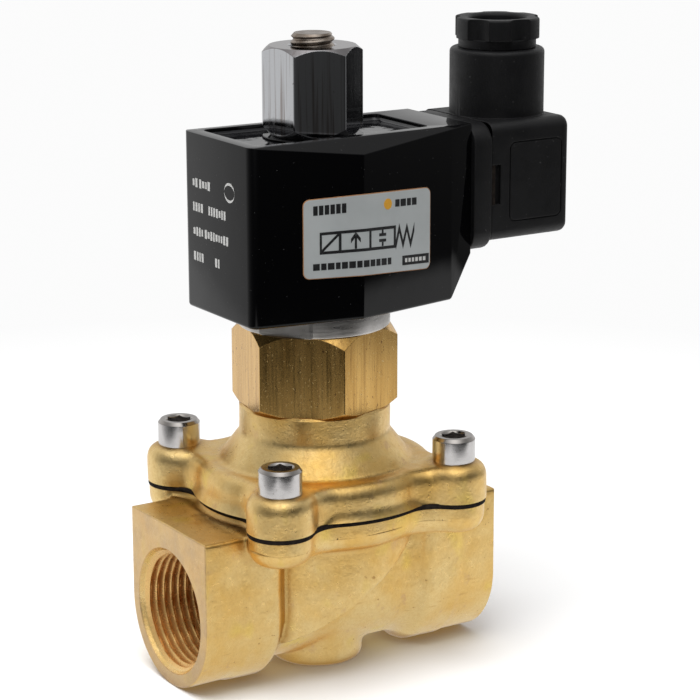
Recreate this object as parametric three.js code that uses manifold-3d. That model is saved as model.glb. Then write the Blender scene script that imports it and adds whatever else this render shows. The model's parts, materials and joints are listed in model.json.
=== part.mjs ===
// A two-port solenoid valve with assisted lift, in millimetres, +Z up.
// Heights are measured from the flow axis (X), which crosses the stem axis (Z). The group is
// then raised, so that the part's origin is the centre of the flat face under the stem.
import * as THREE from 'three';
import { mergeVertices } from 'three/addons/utils/BufferGeometryUtils.js';
import Module from 'manifold-3d';

const wasm = await Module();
wasm.setup();

// ---------------------------------------------------------------- driving dimensions
const FACE_X = 37;            // port face to stem axis
const BLOCK_X = 19.3;         // where an end block meets the bowl
const BLOCK_HALF = 16.5;      // half width of an end block
const BLOCK_TOP = 19.4;
const REST_Z = -16.8;         // lowest plane of the body
const BOWL_R = 22;
const BOSS_R = 10.2;          // foot under the stem
const PASSAGE_R = 14.2;       // half width of the flow passage, outside
const WALL = 3;               // least thickness of the forging
const THREAD_R = 12.65;       // mean radius of the G 3/4 thread
const THREAD_DEPTH = 15;
const MOUTH_R = 13.9;
const MOUTH_DEPTH = 1.7;

const PARTITION_Z = 3.4;      // wall between inlet and outlet, where it crosses the stem axis
const PARTITION_SLOPE = 0.63;

const FLANGE_LOW = 14.4;
const DIAPHRAGM_Z = 20.9;
const BONNET_Z = 21.8;
const PLATE_TOP = 29.5;
const SCREW_SEAT = 29.7;
const SCREW_XY = 21.9;
const LOBE_R = 6.8;
const FLANGE_R = 26;
const FLANGE_FILLET = 8;

const SCREW_R = 2.5;          // M5 bonnet screws with a 5 mm key
const SCREW_END = 15;
const SCREW_HOLE_R = 2.75;
const HEAD_R = 4.65;
const HEAD_TALL = 5.87;
const KEY_R = 2.89;
const KEY_DEPTH = 3.2;

const SEAT_Z = 16;            // top of the valve seat
const SEAT_R = 10;            // nominal bore of the valve
const SEAT_WALL = 2.8;
const CHAMBER_R = 19;
const OUTLET_R = 9.5;
const INLET_R = 10.5;

const DOME_R = 17.5;          // space over the diaphragm
const DOME_TOP = 27.4;
const SPRING_POCKET_R = 11.6;
const SPRING_POCKET_TOP = 31;
const CONE_R = 20.9;
const CONE_TOP = 35.35;
const NECK_R = 16.5;
const NECK_TOP = 41.75;
const SPIGOT_FLOOR = 35.4;
const SPIGOT_R = 13;
const THROAT_R = 8;

const UNION_R = 18.3;         // corner radius of the 32 mm hexagon
const UNION_TOP = 59.2;
const UNION_TURN = -41;       // degrees, one corner of the hexagon
const COIL_Z = 63.2;          // underside of the coil
const COIL_TOP = 101.3;
const POTTING_TOP = 100;     // resin poured into the top of the coil

const TUBE_R = 6.5;
const TUBE_WALL = 0.5;
const TUBE_TOP = 98;
const TUBE_FOOT_R = 9.4;      // collar that the union nut holds down
const TUBE_FOOT_TOP = 37.3;
const CORE_Z = 80.2;          // pole face of the fixed core
const CORE_TOP = 98.6;
const ARMATURE_R = 5.7;
const ARMATURE_LOW = 31.6;
const ARMATURE_TOP = 74;
const FOOT_LOW = 25.7;        // foot of the armature, inside the lift cage
const FOOT_R = 3.6;
const ANKLE_R = 2.2;
const ARMATURE_BORE_Z = 62;   // floor of the spring bore
const SPRING_BORE_R = 3.2;
const STUD_R = 4.7;
const STUD_TOP = 121.9;
const STUD_CHAMFER = 0.6;

const CAGE_LOW = 23;
const CAGE_TOP = 31.2;
const CAGE_R = 6.2;
const DISC_R = 13;            // clamps the diaphragm from below
const DISC_LOW = 18.4;
const SEAL_INNER = 4;
const SEAL_OUTER = 12;
const STEM_R = 3;             // spigot of the disc, through diaphragm and cage
const PILOT_TIP = 25.4;
const PILOT_R = 0.9;
const STEM_HOLE_R = 3.2;

const BASE_X = 32.5;          // terminal base, on the side of the coil
const PLUG_X = 37.4;          // sealing face of the cable plug
const PLUG_END = 58;
const PLUG_Z = 88;            // centre of the contact pattern
const BARREL_X = 47.9;
const BARREL_TOP = 115.5;
const GLAND_TOP = 122.2;
const FIT = 0.3;              // clearance between pieces that must not touch

// ---------------------------------------------------------------- finishes
const finish = (color, roughness, metalness) => () =>
  new THREE.MeshStandardMaterial({ color, roughness, metalness });
const forgedBrass = finish(0xc79a4b, 0.42, 0.9);
const turnedBrass = finish(0xb8924a, 0.28, 1);
const stainless = finish(0xb9bbbd, 0.25, 1);
const magneticSteel = finish(0x8b8d90, 0.4, 1);
const chrome = finish(0xd7d9dc, 0.08, 1);
const copper = finish(0xb4683c, 0.35, 1);
const blackRubber = finish(0x141414, 0.8, 0);
const glossBlack = finish(0x08080a, 0.08, 0);
const mattBlack = finish(0x17171a, 0.6, 0);
const nylon = finish(0xd8d2c2, 0.5, 0);
const silverFoil = finish(0xa4a9a9, 0.4, 0.3);

// ---------------------------------------------------------------- solids
function signedVolume(position, index) {
  let volume = 0;
  const [a, b, c] = [new THREE.Vector3(), new THREE.Vector3(), new THREE.Vector3()];
  for (let i = 0; i < index.length; i += 3) {
    a.fromBufferAttribute(position, index[i]);
    b.fromBufferAttribute(position, index[i + 1]);
    c.fromBufferAttribute(position, index[i + 2]);
    volume += a.dot(b.cross(c)) / 6;
  }
  return volume;
}

function solid(geometry) {
  const plain = geometry.clone();
  plain.deleteAttribute('normal');
  plain.deleteAttribute('uv');
  const merged = mergeVertices(plain, 1e-4);
  const index = Uint32Array.from(merged.index.array);
  if (signedVolume(merged.attributes.position, index) < 0) {
    index.reverse();
  }
  return new wasm.Manifold(new wasm.Mesh({
    numProp: 3,
    vertProperties: new Float32Array(merged.attributes.position.array),
    triVerts: index,
  }));
}

const radians = (degrees) => THREE.MathUtils.degToRad(degrees);
const addAll = (pieces) => pieces.reduce((sum, piece) => sum.add(piece));
const cutAll = (whole, cuts) => cuts.reduce((rest, cut) => rest.subtract(cut), whole);

// A body of revolution about Z through (x, y), from [radius, z] pairs.
function turned(profile, segments = 28, x = 0, y = 0) {
  const points = profile.map(([r, z]) => new THREE.Vector2(r, z));
  const geometry = new THREE.LatheGeometry(points, segments);
  geometry.rotateX(Math.PI / 2);
  geometry.translate(x, y, 0);
  return solid(geometry);
}

function post(radius, low, high, segments = 28, x = 0, y = 0) {
  return turned([[0, low], [radius, low], [radius, high], [0, high]], segments, x, y);
}

function ring(inner, outer, low, high, segments = 28, x = 0, y = 0) {
  const profile = [[inner, low], [outer, low], [outer, high], [inner, high], [inner, low]];
  return turned(profile, segments, x, y);
}

// The same about the X direction, from [radius, x] pairs.
function turnedAlongX(profile, segments = 28, y = 0, z = 0) {
  const points = profile.map(([r, along]) => new THREE.Vector2(r, along));
  const geometry = new THREE.LatheGeometry(points, segments);
  geometry.rotateZ(-Math.PI / 2);
  geometry.translate(0, y, z);
  return solid(geometry);
}

function rod(radius, from, to, segments = 28, y = 0, z = 0) {
  return turnedAlongX([[0, from], [radius, from], [radius, to], [0, to]], segments, y, z);
}

function block(x0, x1, y0, y1, z0, z1) {
  const geometry = new THREE.BoxGeometry(x1 - x0, y1 - y0, z1 - z0);
  geometry.translate((x0 + x1) / 2, (y0 + y1) / 2, (z0 + z1) / 2);
  return solid(geometry);
}

function extruded(shape, depth, curveSegments) {
  return new THREE.ExtrudeGeometry(shape, { depth, curveSegments, bevelEnabled: false });
}

function upright(shape, low, high, curveSegments = 8) {
  const geometry = extruded(shape, high - low, curveSegments);
  geometry.translate(0, 0, low);
  return solid(geometry);
}

// Extrudes a (y, z) shape from one x to another.
function along(shape, from, to, curveSegments = 8) {
  const geometry = extruded(shape, to - from, curveSegments);
  const axes = new THREE.Matrix4().makeBasis(
    new THREE.Vector3(0, 1, 0), new THREE.Vector3(0, 0, 1), new THREE.Vector3(1, 0, 0));
  geometry.applyMatrix4(axes);
  geometry.translate(from, 0, 0);
  return solid(geometry);
}

// Extrudes an (x, z) shape over the full width, from -half to +half in y.
function across(shape, half) {
  const geometry = extruded(shape, 2 * half, 8);
  const axes = new THREE.Matrix4().makeBasis(
    new THREE.Vector3(1, 0, 0), new THREE.Vector3(0, 0, 1), new THREE.Vector3(0, -1, 0));
  geometry.applyMatrix4(axes);
  geometry.translate(0, half, 0);
  return solid(geometry);
}

const polygon = (points) => new THREE.Shape(points.map(([x, y]) => new THREE.Vector2(x, y)));

function roundedRectangle(x0, x1, y0, y1, radius) {
  const shape = new THREE.Shape();
  shape.absarc(x1 - radius, y1 - radius, radius, 0, Math.PI / 2);
  shape.absarc(x0 + radius, y1 - radius, radius, Math.PI / 2, Math.PI);
  shape.absarc(x0 + radius, y0 + radius, radius, Math.PI, 1.5 * Math.PI);
  shape.absarc(x1 - radius, y0 + radius, radius, 1.5 * Math.PI, 2 * Math.PI);
  return shape;
}

function hexagon(cornerRadius, turn) {
  const corners = [0, 1, 2, 3, 4, 5].map((k) => radians(turn + 60 * k));
  return polygon(corners.map((a) => [cornerRadius * Math.cos(a), cornerRadius * Math.sin(a)]));
}

class Helix extends THREE.Curve {
  constructor(radius, low, high, turns) {
    super();
    Object.assign(this, { radius, low, high, turns });
  }

  getPoint(t) {
    const angle = 2 * Math.PI * this.turns * t;
    const z = this.low + (this.high - this.low) * t;
    return new THREE.Vector3(this.radius * Math.cos(angle), this.radius * Math.sin(angle), z);
  }
}

function coilSpring(radius, wire, low, high, turns, stepsPerTurn) {
  const section = new THREE.Shape();
  section.absarc(0, 0, wire, 0, 2 * Math.PI);
  const path = new Helix(radius, low + wire + 0.05, high - wire - 0.05, turns);
  const steps = turns * stepsPerTurn;
  return solid(new THREE.ExtrudeGeometry(section, { steps, curveSegments: 3, extrudePath: path }));
}

const group = new THREE.Group();
group.position.z = -REST_Z;

function place(name, piece, material) {
  const { vertProperties, triVerts } = piece.getMesh();
  const geometry = new THREE.BufferGeometry();
  geometry.setAttribute('position', new THREE.BufferAttribute(vertProperties, 3));
  geometry.setIndex(new THREE.BufferAttribute(triVerts, 1));
  geometry.computeVertexNormals();
  const mesh = new THREE.Mesh(geometry, material());
  mesh.name = name;
  group.add(mesh);
}

// ---------------------------------------------------------------- body, diaphragm, bonnet
const lobes = [[1, 1], [-1, 1], [-1, -1], [1, -1]].map(([x, y]) => [x * SCREW_XY, y * SCREW_XY]);

// A round flange with four screw lobes, joined by concave fillets.
function flangeOutline() {
  const reach = Math.hypot(SCREW_XY, SCREW_XY);
  const fillet = FLANGE_R + FLANGE_FILLET;
  const side = LOBE_R + FLANGE_FILLET;
  const spread = Math.acos((fillet ** 2 + reach ** 2 - side ** 2) / (2 * fillet * reach));
  const shape = new THREE.Shape();
  for (let k = 0; k < 4; k += 1) {
    const middle = radians(45 + 90 * k);
    const lobe = new THREE.Vector2(reach * Math.cos(middle), reach * Math.sin(middle));
    const before = new THREE.Vector2(Math.cos(middle - spread), Math.sin(middle - spread));
    const after = new THREE.Vector2(Math.cos(middle + spread), Math.sin(middle + spread));
    before.multiplyScalar(fillet);
    after.multiplyScalar(fillet);
    const inwards = lobe.clone().sub(before).angle();
    const outwards = lobe.clone().sub(after).angle();
    shape.absarc(0, 0, FLANGE_R, middle - radians(90) + spread, middle - spread, false);
    shape.absarc(before.x, before.y, FLANGE_FILLET, middle - spread + Math.PI, inwards, true);
    shape.absarc(lobe.x, lobe.y, LOBE_R, inwards + Math.PI, outwards + Math.PI, false);
    shape.absarc(after.x, after.y, FLANGE_FILLET, outwards, middle + spread + Math.PI, true);
  }
  return shape;
}

const screwHoles = (low, high) =>
  lobes.map(([x, y]) => post(SCREW_HOLE_R, low, high, 16, x, y));

function endBlockOutline() {
  const round = REST_Z + BLOCK_HALF;
  const shape = new THREE.Shape();
  shape.moveTo(BLOCK_HALF, BLOCK_TOP);
  shape.lineTo(-BLOCK_HALF, BLOCK_TOP);
  shape.lineTo(-BLOCK_HALF, round);
  shape.absarc(0, round, BLOCK_HALF, Math.PI, 2 * Math.PI, false);
  return shape;
}

// Everything above the sloping wall between inlet and outlet, out to reach on either side.
// lift raises the slope by the wall thickness, for the floor of the inlet chamber.
function abovePartition(lift, reach) {
  const slope = (x) => PARTITION_Z + lift + PARTITION_SLOPE * x;
  const above = BONNET_Z;
  return polygon([[reach, above], [-reach, above], [-reach, slope(-reach)], [reach, slope(reach)]]);
}

// A channel open to the top: a half round floor with upright walls.
function passageOutline() {
  const shape = new THREE.Shape();
  shape.moveTo(PASSAGE_R, FLANGE_LOW + 1);
  shape.lineTo(-PASSAGE_R, FLANGE_LOW + 1);
  shape.lineTo(-PASSAGE_R, 0);
  shape.absarc(0, 0, PASSAGE_R, Math.PI, 2 * Math.PI, false);
  return shape;
}

function portCuts(side) {
  const mouth = [
    [0, FACE_X + 1], [MOUTH_R + 0.6, FACE_X + 1], [MOUTH_R, FACE_X],
    [THREAD_R, FACE_X - MOUTH_DEPTH], [THREAD_R, FACE_X - THREAD_DEPTH], [0, FACE_X - THREAD_DEPTH],
  ];
  return turnedAlongX(mouth.map(([r, x]) => [r, side * x]));
}

function valveBody() {
  const bowl = post(BOWL_R, REST_Z, FLANGE_LOW + 1, 40)
    .intersect(across(abovePartition(0, BOWL_R + 1), BOWL_R + 1));
  const outside = addAll([
    along(endBlockOutline(), BLOCK_X, FACE_X, 8),
    along(endBlockOutline(), -FACE_X, -BLOCK_X, 8),
    along(passageOutline(), -BLOCK_X - 1, BLOCK_X + 1, 8),
    upright(flangeOutline(), FLANGE_LOW, DIAPHRAGM_Z, 3),
    bowl,
    post(BOSS_R, REST_Z, 0),
  ]);
  const seatTube = post(SEAT_R + SEAT_WALL, REST_Z, SEAT_Z);
  const chamber = post(CHAMBER_R, REST_Z, DIAPHRAGM_Z + 1)
    .intersect(across(abovePartition(WALL * Math.hypot(1, PARTITION_SLOPE), BOWL_R), BOWL_R))
    .subtract(seatTube);
  const inlet = rod(INLET_R, -FACE_X + THREAD_DEPTH - 1, WALL - CHAMBER_R);
  const outlet = rod(OUTLET_R, 0, FACE_X - THREAD_DEPTH + 1);
  const bend = solid(new THREE.SphereGeometry(SEAT_R, 16, 8));
  const throughSeat = post(SEAT_R, 0, DIAPHRAGM_Z + 1, 20);
  const holes = screwHoles(FLANGE_LOW - 1, DIAPHRAGM_Z + 1);
  return cutAll(outside, [
    portCuts(-1), portCuts(1), chamber, inlet, outlet, bend, throughSeat, ...holes,
  ]);
}

function diaphragm() {
  const bleed = { radius: 0.5, x: -15.5 };
  const sheet = upright(flangeOutline(), DIAPHRAGM_Z, BONNET_Z, 3);
  const stemHole = post(STEM_HOLE_R, DIAPHRAGM_Z - 1, BONNET_Z + 1, 24);
  const bleedHole = post(bleed.radius, DIAPHRAGM_Z - 1, BONNET_Z + 1, 10, bleed.x);
  return cutAll(sheet, [stemHole, bleedHole, ...screwHoles(DIAPHRAGM_Z - 1, BONNET_Z + 1)]);
}

function bonnet() {
  const seats = lobes.map(([x, y]) => post(LOBE_R, PLATE_TOP - 1, SCREW_SEAT, 24, x, y));
  const cone = turned([
    [0, PLATE_TOP - 1], [CONE_R, PLATE_TOP - 1], [CONE_R, PLATE_TOP], [NECK_R, CONE_TOP],
    [NECK_R, NECK_TOP], [0, NECK_TOP],
  ], 36);
  const outside = addAll([upright(flangeOutline(), BONNET_Z, PLATE_TOP, 3), cone, ...seats]);
  return cutAll(outside, [
    post(DOME_R, BONNET_Z - 1, DOME_TOP),
    post(SPRING_POCKET_R, DOME_TOP - 1, SPRING_POCKET_TOP, 32),
    post(THROAT_R, SPRING_POCKET_TOP - 1, SPIGOT_FLOOR + 1, 32),
    post(SPIGOT_R + FIT, SPIGOT_FLOOR, NECK_TOP + 1, 32),
    ...screwHoles(BONNET_Z - 1, SCREW_SEAT + 1),
  ]);
}

function bonnetScrew([x, y]) {
  const headTop = SCREW_SEAT + HEAD_TALL;
  const chamfer = 0.6;
  const body = turned([
    [0, SCREW_END], [SCREW_R, SCREW_END], [SCREW_R, SCREW_SEAT], [HEAD_R, SCREW_SEAT],
    [HEAD_R, headTop - chamfer], [HEAD_R - chamfer, headTop], [0, headTop],
  ], 24, x, y);
  const socket = upright(hexagon(KEY_R, 0), headTop - KEY_DEPTH, headTop + 1);
  return body.subtract(socket.translate([x, y, 0]));
}

// ---------------------------------------------------------------- stem
const O_RING = { middle: 10.4, wire: 0.75 };
const SHADING = { inner: 4, outer: 4.9, tall: 1.3 };
const PILOT_SEAL = { radius: 1.9, high: 27.1 };

// A hexagon whose corners are turned off by a cone at each end: its end radius and height.
function chamferedHexagon(cornerRadius, turn, low, high, lowCone, highCone) {
  const prism = upright(hexagon(cornerRadius, turn), low, high);
  const wide = cornerRadius + 0.01;
  const envelope = turned([
    [0, low], [lowCone.radius, low], [wide, low + lowCone.tall],
    [wide, high - highCone.tall], [highCone.radius, high], [0, high],
  ], 42);
  return prism.intersect(envelope);
}

function unionNut() {
  const lowCone = { radius: NECK_R, tall: 1.2 };
  const highCone = { radius: 16.3, tall: 2.3 };
  const hex = chamferedHexagon(UNION_R, UNION_TURN, NECK_TOP, UNION_TOP, lowCone, highCone);
  const spigot = post(SPIGOT_R, SPIGOT_FLOOR + FIT, NECK_TOP + 1, 32);
  const bore = post(TUBE_R + FIT, SPIGOT_FLOOR, UNION_TOP + 1, 32);
  const counterbore = post(O_RING.middle + 0.9, SPIGOT_FLOOR, TUBE_FOOT_TOP + FIT, 32);
  return cutAll(hex.add(spigot), [bore, counterbore]);
}

function tubeORing() {
  const torus = new THREE.TorusGeometry(O_RING.middle, O_RING.wire, 8, 28);
  torus.translate(0, 0, SPIGOT_FLOOR + O_RING.wire + 0.1);
  return solid(torus);
}

function guideTube() {
  const inner = TUBE_R - TUBE_WALL;
  return turned([
    [inner, SPIGOT_FLOOR], [TUBE_FOOT_R, SPIGOT_FLOOR], [TUBE_FOOT_R, TUBE_FOOT_TOP],
    [TUBE_R, TUBE_FOOT_TOP], [TUBE_R, TUBE_TOP], [inner, TUBE_TOP], [inner, SPIGOT_FLOOR],
  ]);
}

function fixedCore() {
  const poleR = TUBE_R - TUBE_WALL - 0.15;
  const core = turned([
    [0, CORE_Z], [poleR, CORE_Z], [poleR, TUBE_TOP], [TUBE_R, TUBE_TOP], [TUBE_R, CORE_TOP],
    [STUD_R, CORE_TOP], [STUD_R, STUD_TOP - STUD_CHAMFER], [STUD_R - STUD_CHAMFER, STUD_TOP],
    [0, STUD_TOP],
  ]);
  const gap = 0.15;
  const { inner, outer, tall } = SHADING;
  return core.subtract(ring(inner - gap, outer + gap, CORE_Z - 1, CORE_Z + tall + FIT, 32));
}

// The foot hangs in the lift cage; the two grooves let fluid past the armature.
function armature() {
  const footTop = 28;
  const body = turned([
    [0, FOOT_LOW], [FOOT_R, FOOT_LOW], [FOOT_R, footTop], [ANKLE_R, footTop],
    [ANKLE_R, ARMATURE_LOW], [ARMATURE_R, ARMATURE_LOW], [ARMATURE_R, ARMATURE_TOP],
    [0, ARMATURE_TOP],
  ], 28);
  const springBore = post(SPRING_BORE_R, ARMATURE_BORE_Z, ARMATURE_TOP + 1, 24);
  const sealPocket = post(PILOT_SEAL.radius + 0.1, FOOT_LOW - 1, PILOT_SEAL.high + 0.1, 20);
  const half = 0.8;
  const grooves = [1, -1].map((side) => {
    const middle = side * (ARMATURE_R - 0.1);
    return block(-half, half, middle - half, middle + half, ARMATURE_LOW - 1, ARMATURE_TOP + 1);
  });
  return cutAll(body, [springBore, sealPocket, ...grooves]);
}

// A cup with a slot in its side and top, so that the foot of the armature slides in.
function liftCage() {
  const lipR = 2.6;
  const lipLow = CAGE_TOP - 1;
  const innerR = 4.1;
  const floor = CAGE_LOW + 1.4;
  const footSlot = 3.9;
  const ankleSlot = 2.55;
  const cup = turned([
    [STEM_HOLE_R, CAGE_LOW], [CAGE_R, CAGE_LOW], [CAGE_R, CAGE_TOP], [lipR, CAGE_TOP],
    [lipR, lipLow], [innerR, lipLow], [innerR, floor], [STEM_HOLE_R, floor],
    [STEM_HOLE_R, CAGE_LOW],
  ], 32);
  return cutAll(cup, [
    block(0, CAGE_R + 1, -footSlot, footSlot, floor + 0.2, lipLow),
    block(0, CAGE_R + 1, -ankleSlot, ankleSlot, lipLow - 0.2, CAGE_TOP + 1),
  ]);
}

function discLower() {
  const nose = { radius: SEAL_INNER - 0.2, low: SEAT_Z + FIT };
  const pilotRim = 0.8;
  const disc = turned([
    [0, nose.low], [nose.radius, nose.low], [nose.radius, DISC_LOW], [DISC_R, DISC_LOW],
    [DISC_R, DIAPHRAGM_Z], [STEM_R, DIAPHRAGM_Z], [STEM_R, PILOT_TIP - pilotRim],
    [PILOT_R + 0.9, PILOT_TIP], [0, PILOT_TIP],
  ], 28);
  return disc.subtract(post(PILOT_R, SEAT_Z, PILOT_TIP + 1, 12));
}

const NUT = { radius: 10.92, turn: -22.3, low: 100.3, high: 119.3 };

function coilNut() {
  const lowCone = { radius: 9, tall: 2.2 };
  const highCone = { radius: 9.3, tall: 1.4 };
  const hex = chamferedHexagon(NUT.radius, NUT.turn, NUT.low, NUT.high, lowCone, highCone);
  return hex.subtract(post(STUD_R + FIT, NUT.low - 1, NUT.high + 1, 32));
}

// A spacer with two wrench flats.
function collarRing() {
  const flat = { reach: 15.3, turn: -144.4 };
  const flats = [0, 180].map((turn) => {
    const cut = block(flat.reach, NECK_R + 1, -NECK_R, NECK_R, UNION_TOP - 1, COIL_Z + 1);
    return cut.rotate([0, 0, flat.turn + turn]);
  });
  return cutAll(ring(TUBE_R + FIT, NECK_R, UNION_TOP, COIL_Z, 32), flats);
}

place('valve_body', valveBody(), forgedBrass);
place('diaphragm', diaphragm(), blackRubber);
place('bonnet', bonnet(), forgedBrass);
lobes.forEach((lobe, k) => place(`bonnet_screw_${k + 1}`, bonnetScrew(lobe), stainless));
place('union_nut', unionNut(), turnedBrass);
place('tube_o_ring', tubeORing(), blackRubber);
place('guide_tube', guideTube(), stainless);
place('fixed_core', fixedCore(), stainless);
place('shading_ring', ring(SHADING.inner, SHADING.outer, CORE_Z, CORE_Z + SHADING.tall, 32), copper);
place('armature', armature(), magneticSteel);
place('pilot_seal', post(PILOT_SEAL.radius, PILOT_TIP, PILOT_SEAL.high, 20), blackRubber);
place('armature_spring', coilSpring(2.4, 0.4, ARMATURE_BORE_Z, CORE_Z, 6, 9), stainless);
place('lift_cage', liftCage(), stainless);
place('disc_upper', ring(STEM_HOLE_R, DISC_R - 0.5, BONNET_Z, CAGE_LOW, 32), stainless);
place('disc_lower', discLower(), turnedBrass);
place('main_seal', ring(SEAL_INNER, SEAL_OUTER, SEAT_Z, DISC_LOW, 32), blackRubber);
place('return_spring', coilSpring(9.8, 0.5, CAGE_LOW, SPRING_POCKET_TOP, 3, 16), stainless);
place('collar_ring', collarRing(), magneticSteel);
place('coil_washer', ring(STUD_R + 0.5, NUT.radius - 0.12, POTTING_TOP, NUT.low, 32), mattBlack);
place('coil_nut', coilNut(), chrome);

// ---------------------------------------------------------------- coil
// Plan of the housing: it is widest at the winding and narrows to the terminal end.
const COIL_LEFT = -23.7;
const COIL_HALF = 14.2;
const BULGE = [1, 18.5];
const BULGE_TOP = 98.4;
const SHOULDER = [26.5, 13.6];
const COIL_RIGHT = [BASE_X, 12.4];
const TOE_TOP = 72.8;         // the lower corner under the terminals is cut off up to here
const POCKET = [[-20.5, 12.3], [23, 10.4]];
const POCKET_FLOOR = 96.8;
const YOKE = { x: 19.4, y: 9, low: 65.4, high: 96.4, bar: 2.4 };
const BOBBIN = { inner: 7.1, outer: 15.2, low: 68.6, high: 93.4, wall: 1.2, flange: 1.5 };
const EARTH_SCREW_R = 1.6;    // hole for the long screw through the plug

function mirrored(points) {
  return [...points.map(([x, y]) => [x, -y]), ...points.toReversed()];
}

function coilOutline() {
  return polygon(mirrored([[COIL_LEFT, COIL_HALF], BULGE, SHOULDER, COIL_RIGHT]));
}

// Everything above the sloping facet that runs from the bulge up to the straight rim.
function facetCut(side) {
  const start = new THREE.Vector3(COIL_LEFT, side * COIL_HALF, COIL_TOP);
  const peak = new THREE.Vector3(BULGE[0], side * BULGE[1], BULGE_TOP);
  const end = new THREE.Vector3(COIL_RIGHT[0], side * COIL_RIGHT[1], COIL_TOP);
  const plane = new THREE.Plane().setFromCoplanarPoints(start, peak, end);
  if (plane.normal.z < 0) {
    plane.negate();
  }
  const reach = 200;
  const cut = new THREE.BoxGeometry(reach, reach, reach);
  cut.translate(0, 0, reach / 2);
  const turn = new THREE.Quaternion().setFromUnitVectors(new THREE.Vector3(0, 0, 1), plane.normal);
  cut.applyQuaternion(turn);
  cut.translate(peak.x, peak.y, peak.z);
  return solid(cut);
}

function coilHousing() {
  const lowerCorner = polygon([
    [SHOULDER[0], COIL_Z - 1], [SHOULDER[0], COIL_Z], [BASE_X, TOE_TOP], [BASE_X + 1, TOE_TOP],
    [BASE_X + 1, COIL_Z - 1],
  ]);
  const outside = cutAll(upright(coilOutline(), COIL_Z, COIL_TOP), [
    facetCut(1), facetCut(-1), across(lowerCorner, BULGE[1]),
  ]);
  const gap = 0.4;
  const [halfX, halfY] = [YOKE.x + gap, YOKE.y + gap];
  return cutAll(outside, [
    block(-halfX, halfX, -halfY, halfY, YOKE.low - gap, POCKET_FLOOR + 1),
    post(BOBBIN.outer + gap, BOBBIN.low - gap, BOBBIN.high + gap),
    post(BOBBIN.inner + 0.1, COIL_Z - 1, YOKE.low + 1, 32),
    upright(polygon(mirrored(POCKET)), POCKET_FLOOR, COIL_TOP + 1),
    rod(EARTH_SCREW_R, BASE_X - 4.5, BASE_X + 1, 16, 0, PLUG_Z),
  ]);
}

function potting() {
  const inset = POCKET.map(([x, y]) => [x - Math.sign(x) * FIT, y - FIT]);
  const fill = upright(polygon(mirrored(inset)), POCKET_FLOOR, POTTING_TOP);
  return fill.subtract(post(TUBE_R + 0.4, POCKET_FLOOR - 1, POTTING_TOP + 1, 32));
}

function bobbin() {
  const { inner, outer, low, high, wall, flange } = BOBBIN;
  const barrel = inner + wall;
  return turned([
    [inner, low], [outer, low], [outer, low + flange], [barrel, low + flange],
    [barrel, high - flange], [outer, high - flange], [outer, high], [inner, high], [inner, low],
  ]);
}

function winding() {
  const { inner, outer, low, high, wall, flange } = BOBBIN;
  const gap = 0.1;
  return ring(inner + wall + gap, outer - 0.6, low + flange + gap, high - flange - gap);
}

function yokeFrame() {
  const { x, y, low, high, bar } = YOKE;
  const outside = block(-x, x, -y, y, low, high);
  const window = block(bar - x, x - bar, -y - 1, y + 1, low + bar, high - bar);
  return cutAll(outside, [window, post(TUBE_R + 0.5, low - 1, high + 1, 32)]);
}

const LABEL = { left: -12.4, right: 19.9, low: 72, high: 90.5, corner: 1.6 };

// A foil label that wraps the bend of the front face.
function labelPlate() {
  const thickness = 0.25;
  const onFace = (x, [x0, y0], [x1, y1]) => [x, -(y0 + (y1 - y0) * (x - x0) / (x1 - x0))];
  const left = onFace(LABEL.left, [COIL_LEFT, COIL_HALF], BULGE);
  const bend = [BULGE[0], -BULGE[1]];
  const right = onFace(LABEL.right, BULGE, SHOULDER);
  const flat = (a, b) => {
    const run = new THREE.Vector2(b[0] - a[0], b[1] - a[1]);
    const out = new THREE.Vector2(run.y, -run.x).normalize().multiplyScalar(thickness);
    return [a, b, [b[0] + out.x, b[1] + out.y], [a[0] + out.x, a[1] + out.y]];
  };
  const wrap = [flat(left, bend), flat(bend, right)];
  const plan = polygon([
    left, bend, right, wrap[1][2], [BULGE[0], -BULGE[1] - thickness], wrap[0][3],
  ]);
  const outline = roundedRectangle(
    LABEL.left - 0.1, LABEL.right + 0.1, LABEL.low, LABEL.high, LABEL.corner);
  return upright(plan, LABEL.low - 1, LABEL.high + 1).intersect(across(outline, BULGE[1] + 1));
}

place('coil_housing', coilHousing(), glossBlack);
place('potting', potting(), glossBlack);
place('bobbin', bobbin(), nylon);
place('winding', winding(), copper);
place('yoke_frame', yokeFrame(), magneticSteel);
place('label_plate', labelPlate(), silverFoil);

// ---------------------------------------------------------------- terminals and cable plug
const BLADE = { thick: 0.8, wide: 6.3, from: 34, to: 46, offset: 9 };
const BLADES = [
  { name: 'line', y: BLADE.offset, z: PLUG_Z, flat: false },
  { name: 'neutral', y: -BLADE.offset, z: PLUG_Z, flat: false },
  { name: 'earth', y: 0, z: PLUG_Z - BLADE.offset, flat: true },
];
const PLUG_SCREW = { hole: 1.9, shank: 1.4, head: 2.9, sink: 1.5 };
const BASE = { half: 13.8, low: 73, high: 101, corner: 4.5 };
const GASKET = { half: 13, low: 75.1, high: 100.7, corner: 2.4, thick: 0.9 };
const CUBE = { half: 13.4, low: 74.8, high: 101, corner: 2.4, wall: 2.2 };
const BARREL = { radius: 10.5, bore: 7.7, chamfer: 0.8 };
const SEAL = { bore: 3.5, low: 100.2, high: 104.8 };
const GLAND = { bore: 6.35, sleeve: 7.35, low: 106.1, neck: 8.6, grip: 9.5, gripLow: 117.6, chamfer: 0.6 };
const SCALLOP = { radius: 3.7, offset: 11.8, turn: 27.6 };

// A block as wide as a blade, grown all round by a clearance.
function bladeBlock({ y, z, flat }, from, to, grow) {
  const thin = BLADE.thick / 2 + grow;
  const wide = BLADE.wide / 2 + grow;
  const [dy, dz] = flat ? [wide, thin] : [thin, wide];
  return block(from, to, y - dy, y + dy, z - dz, z + dz);
}

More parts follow.
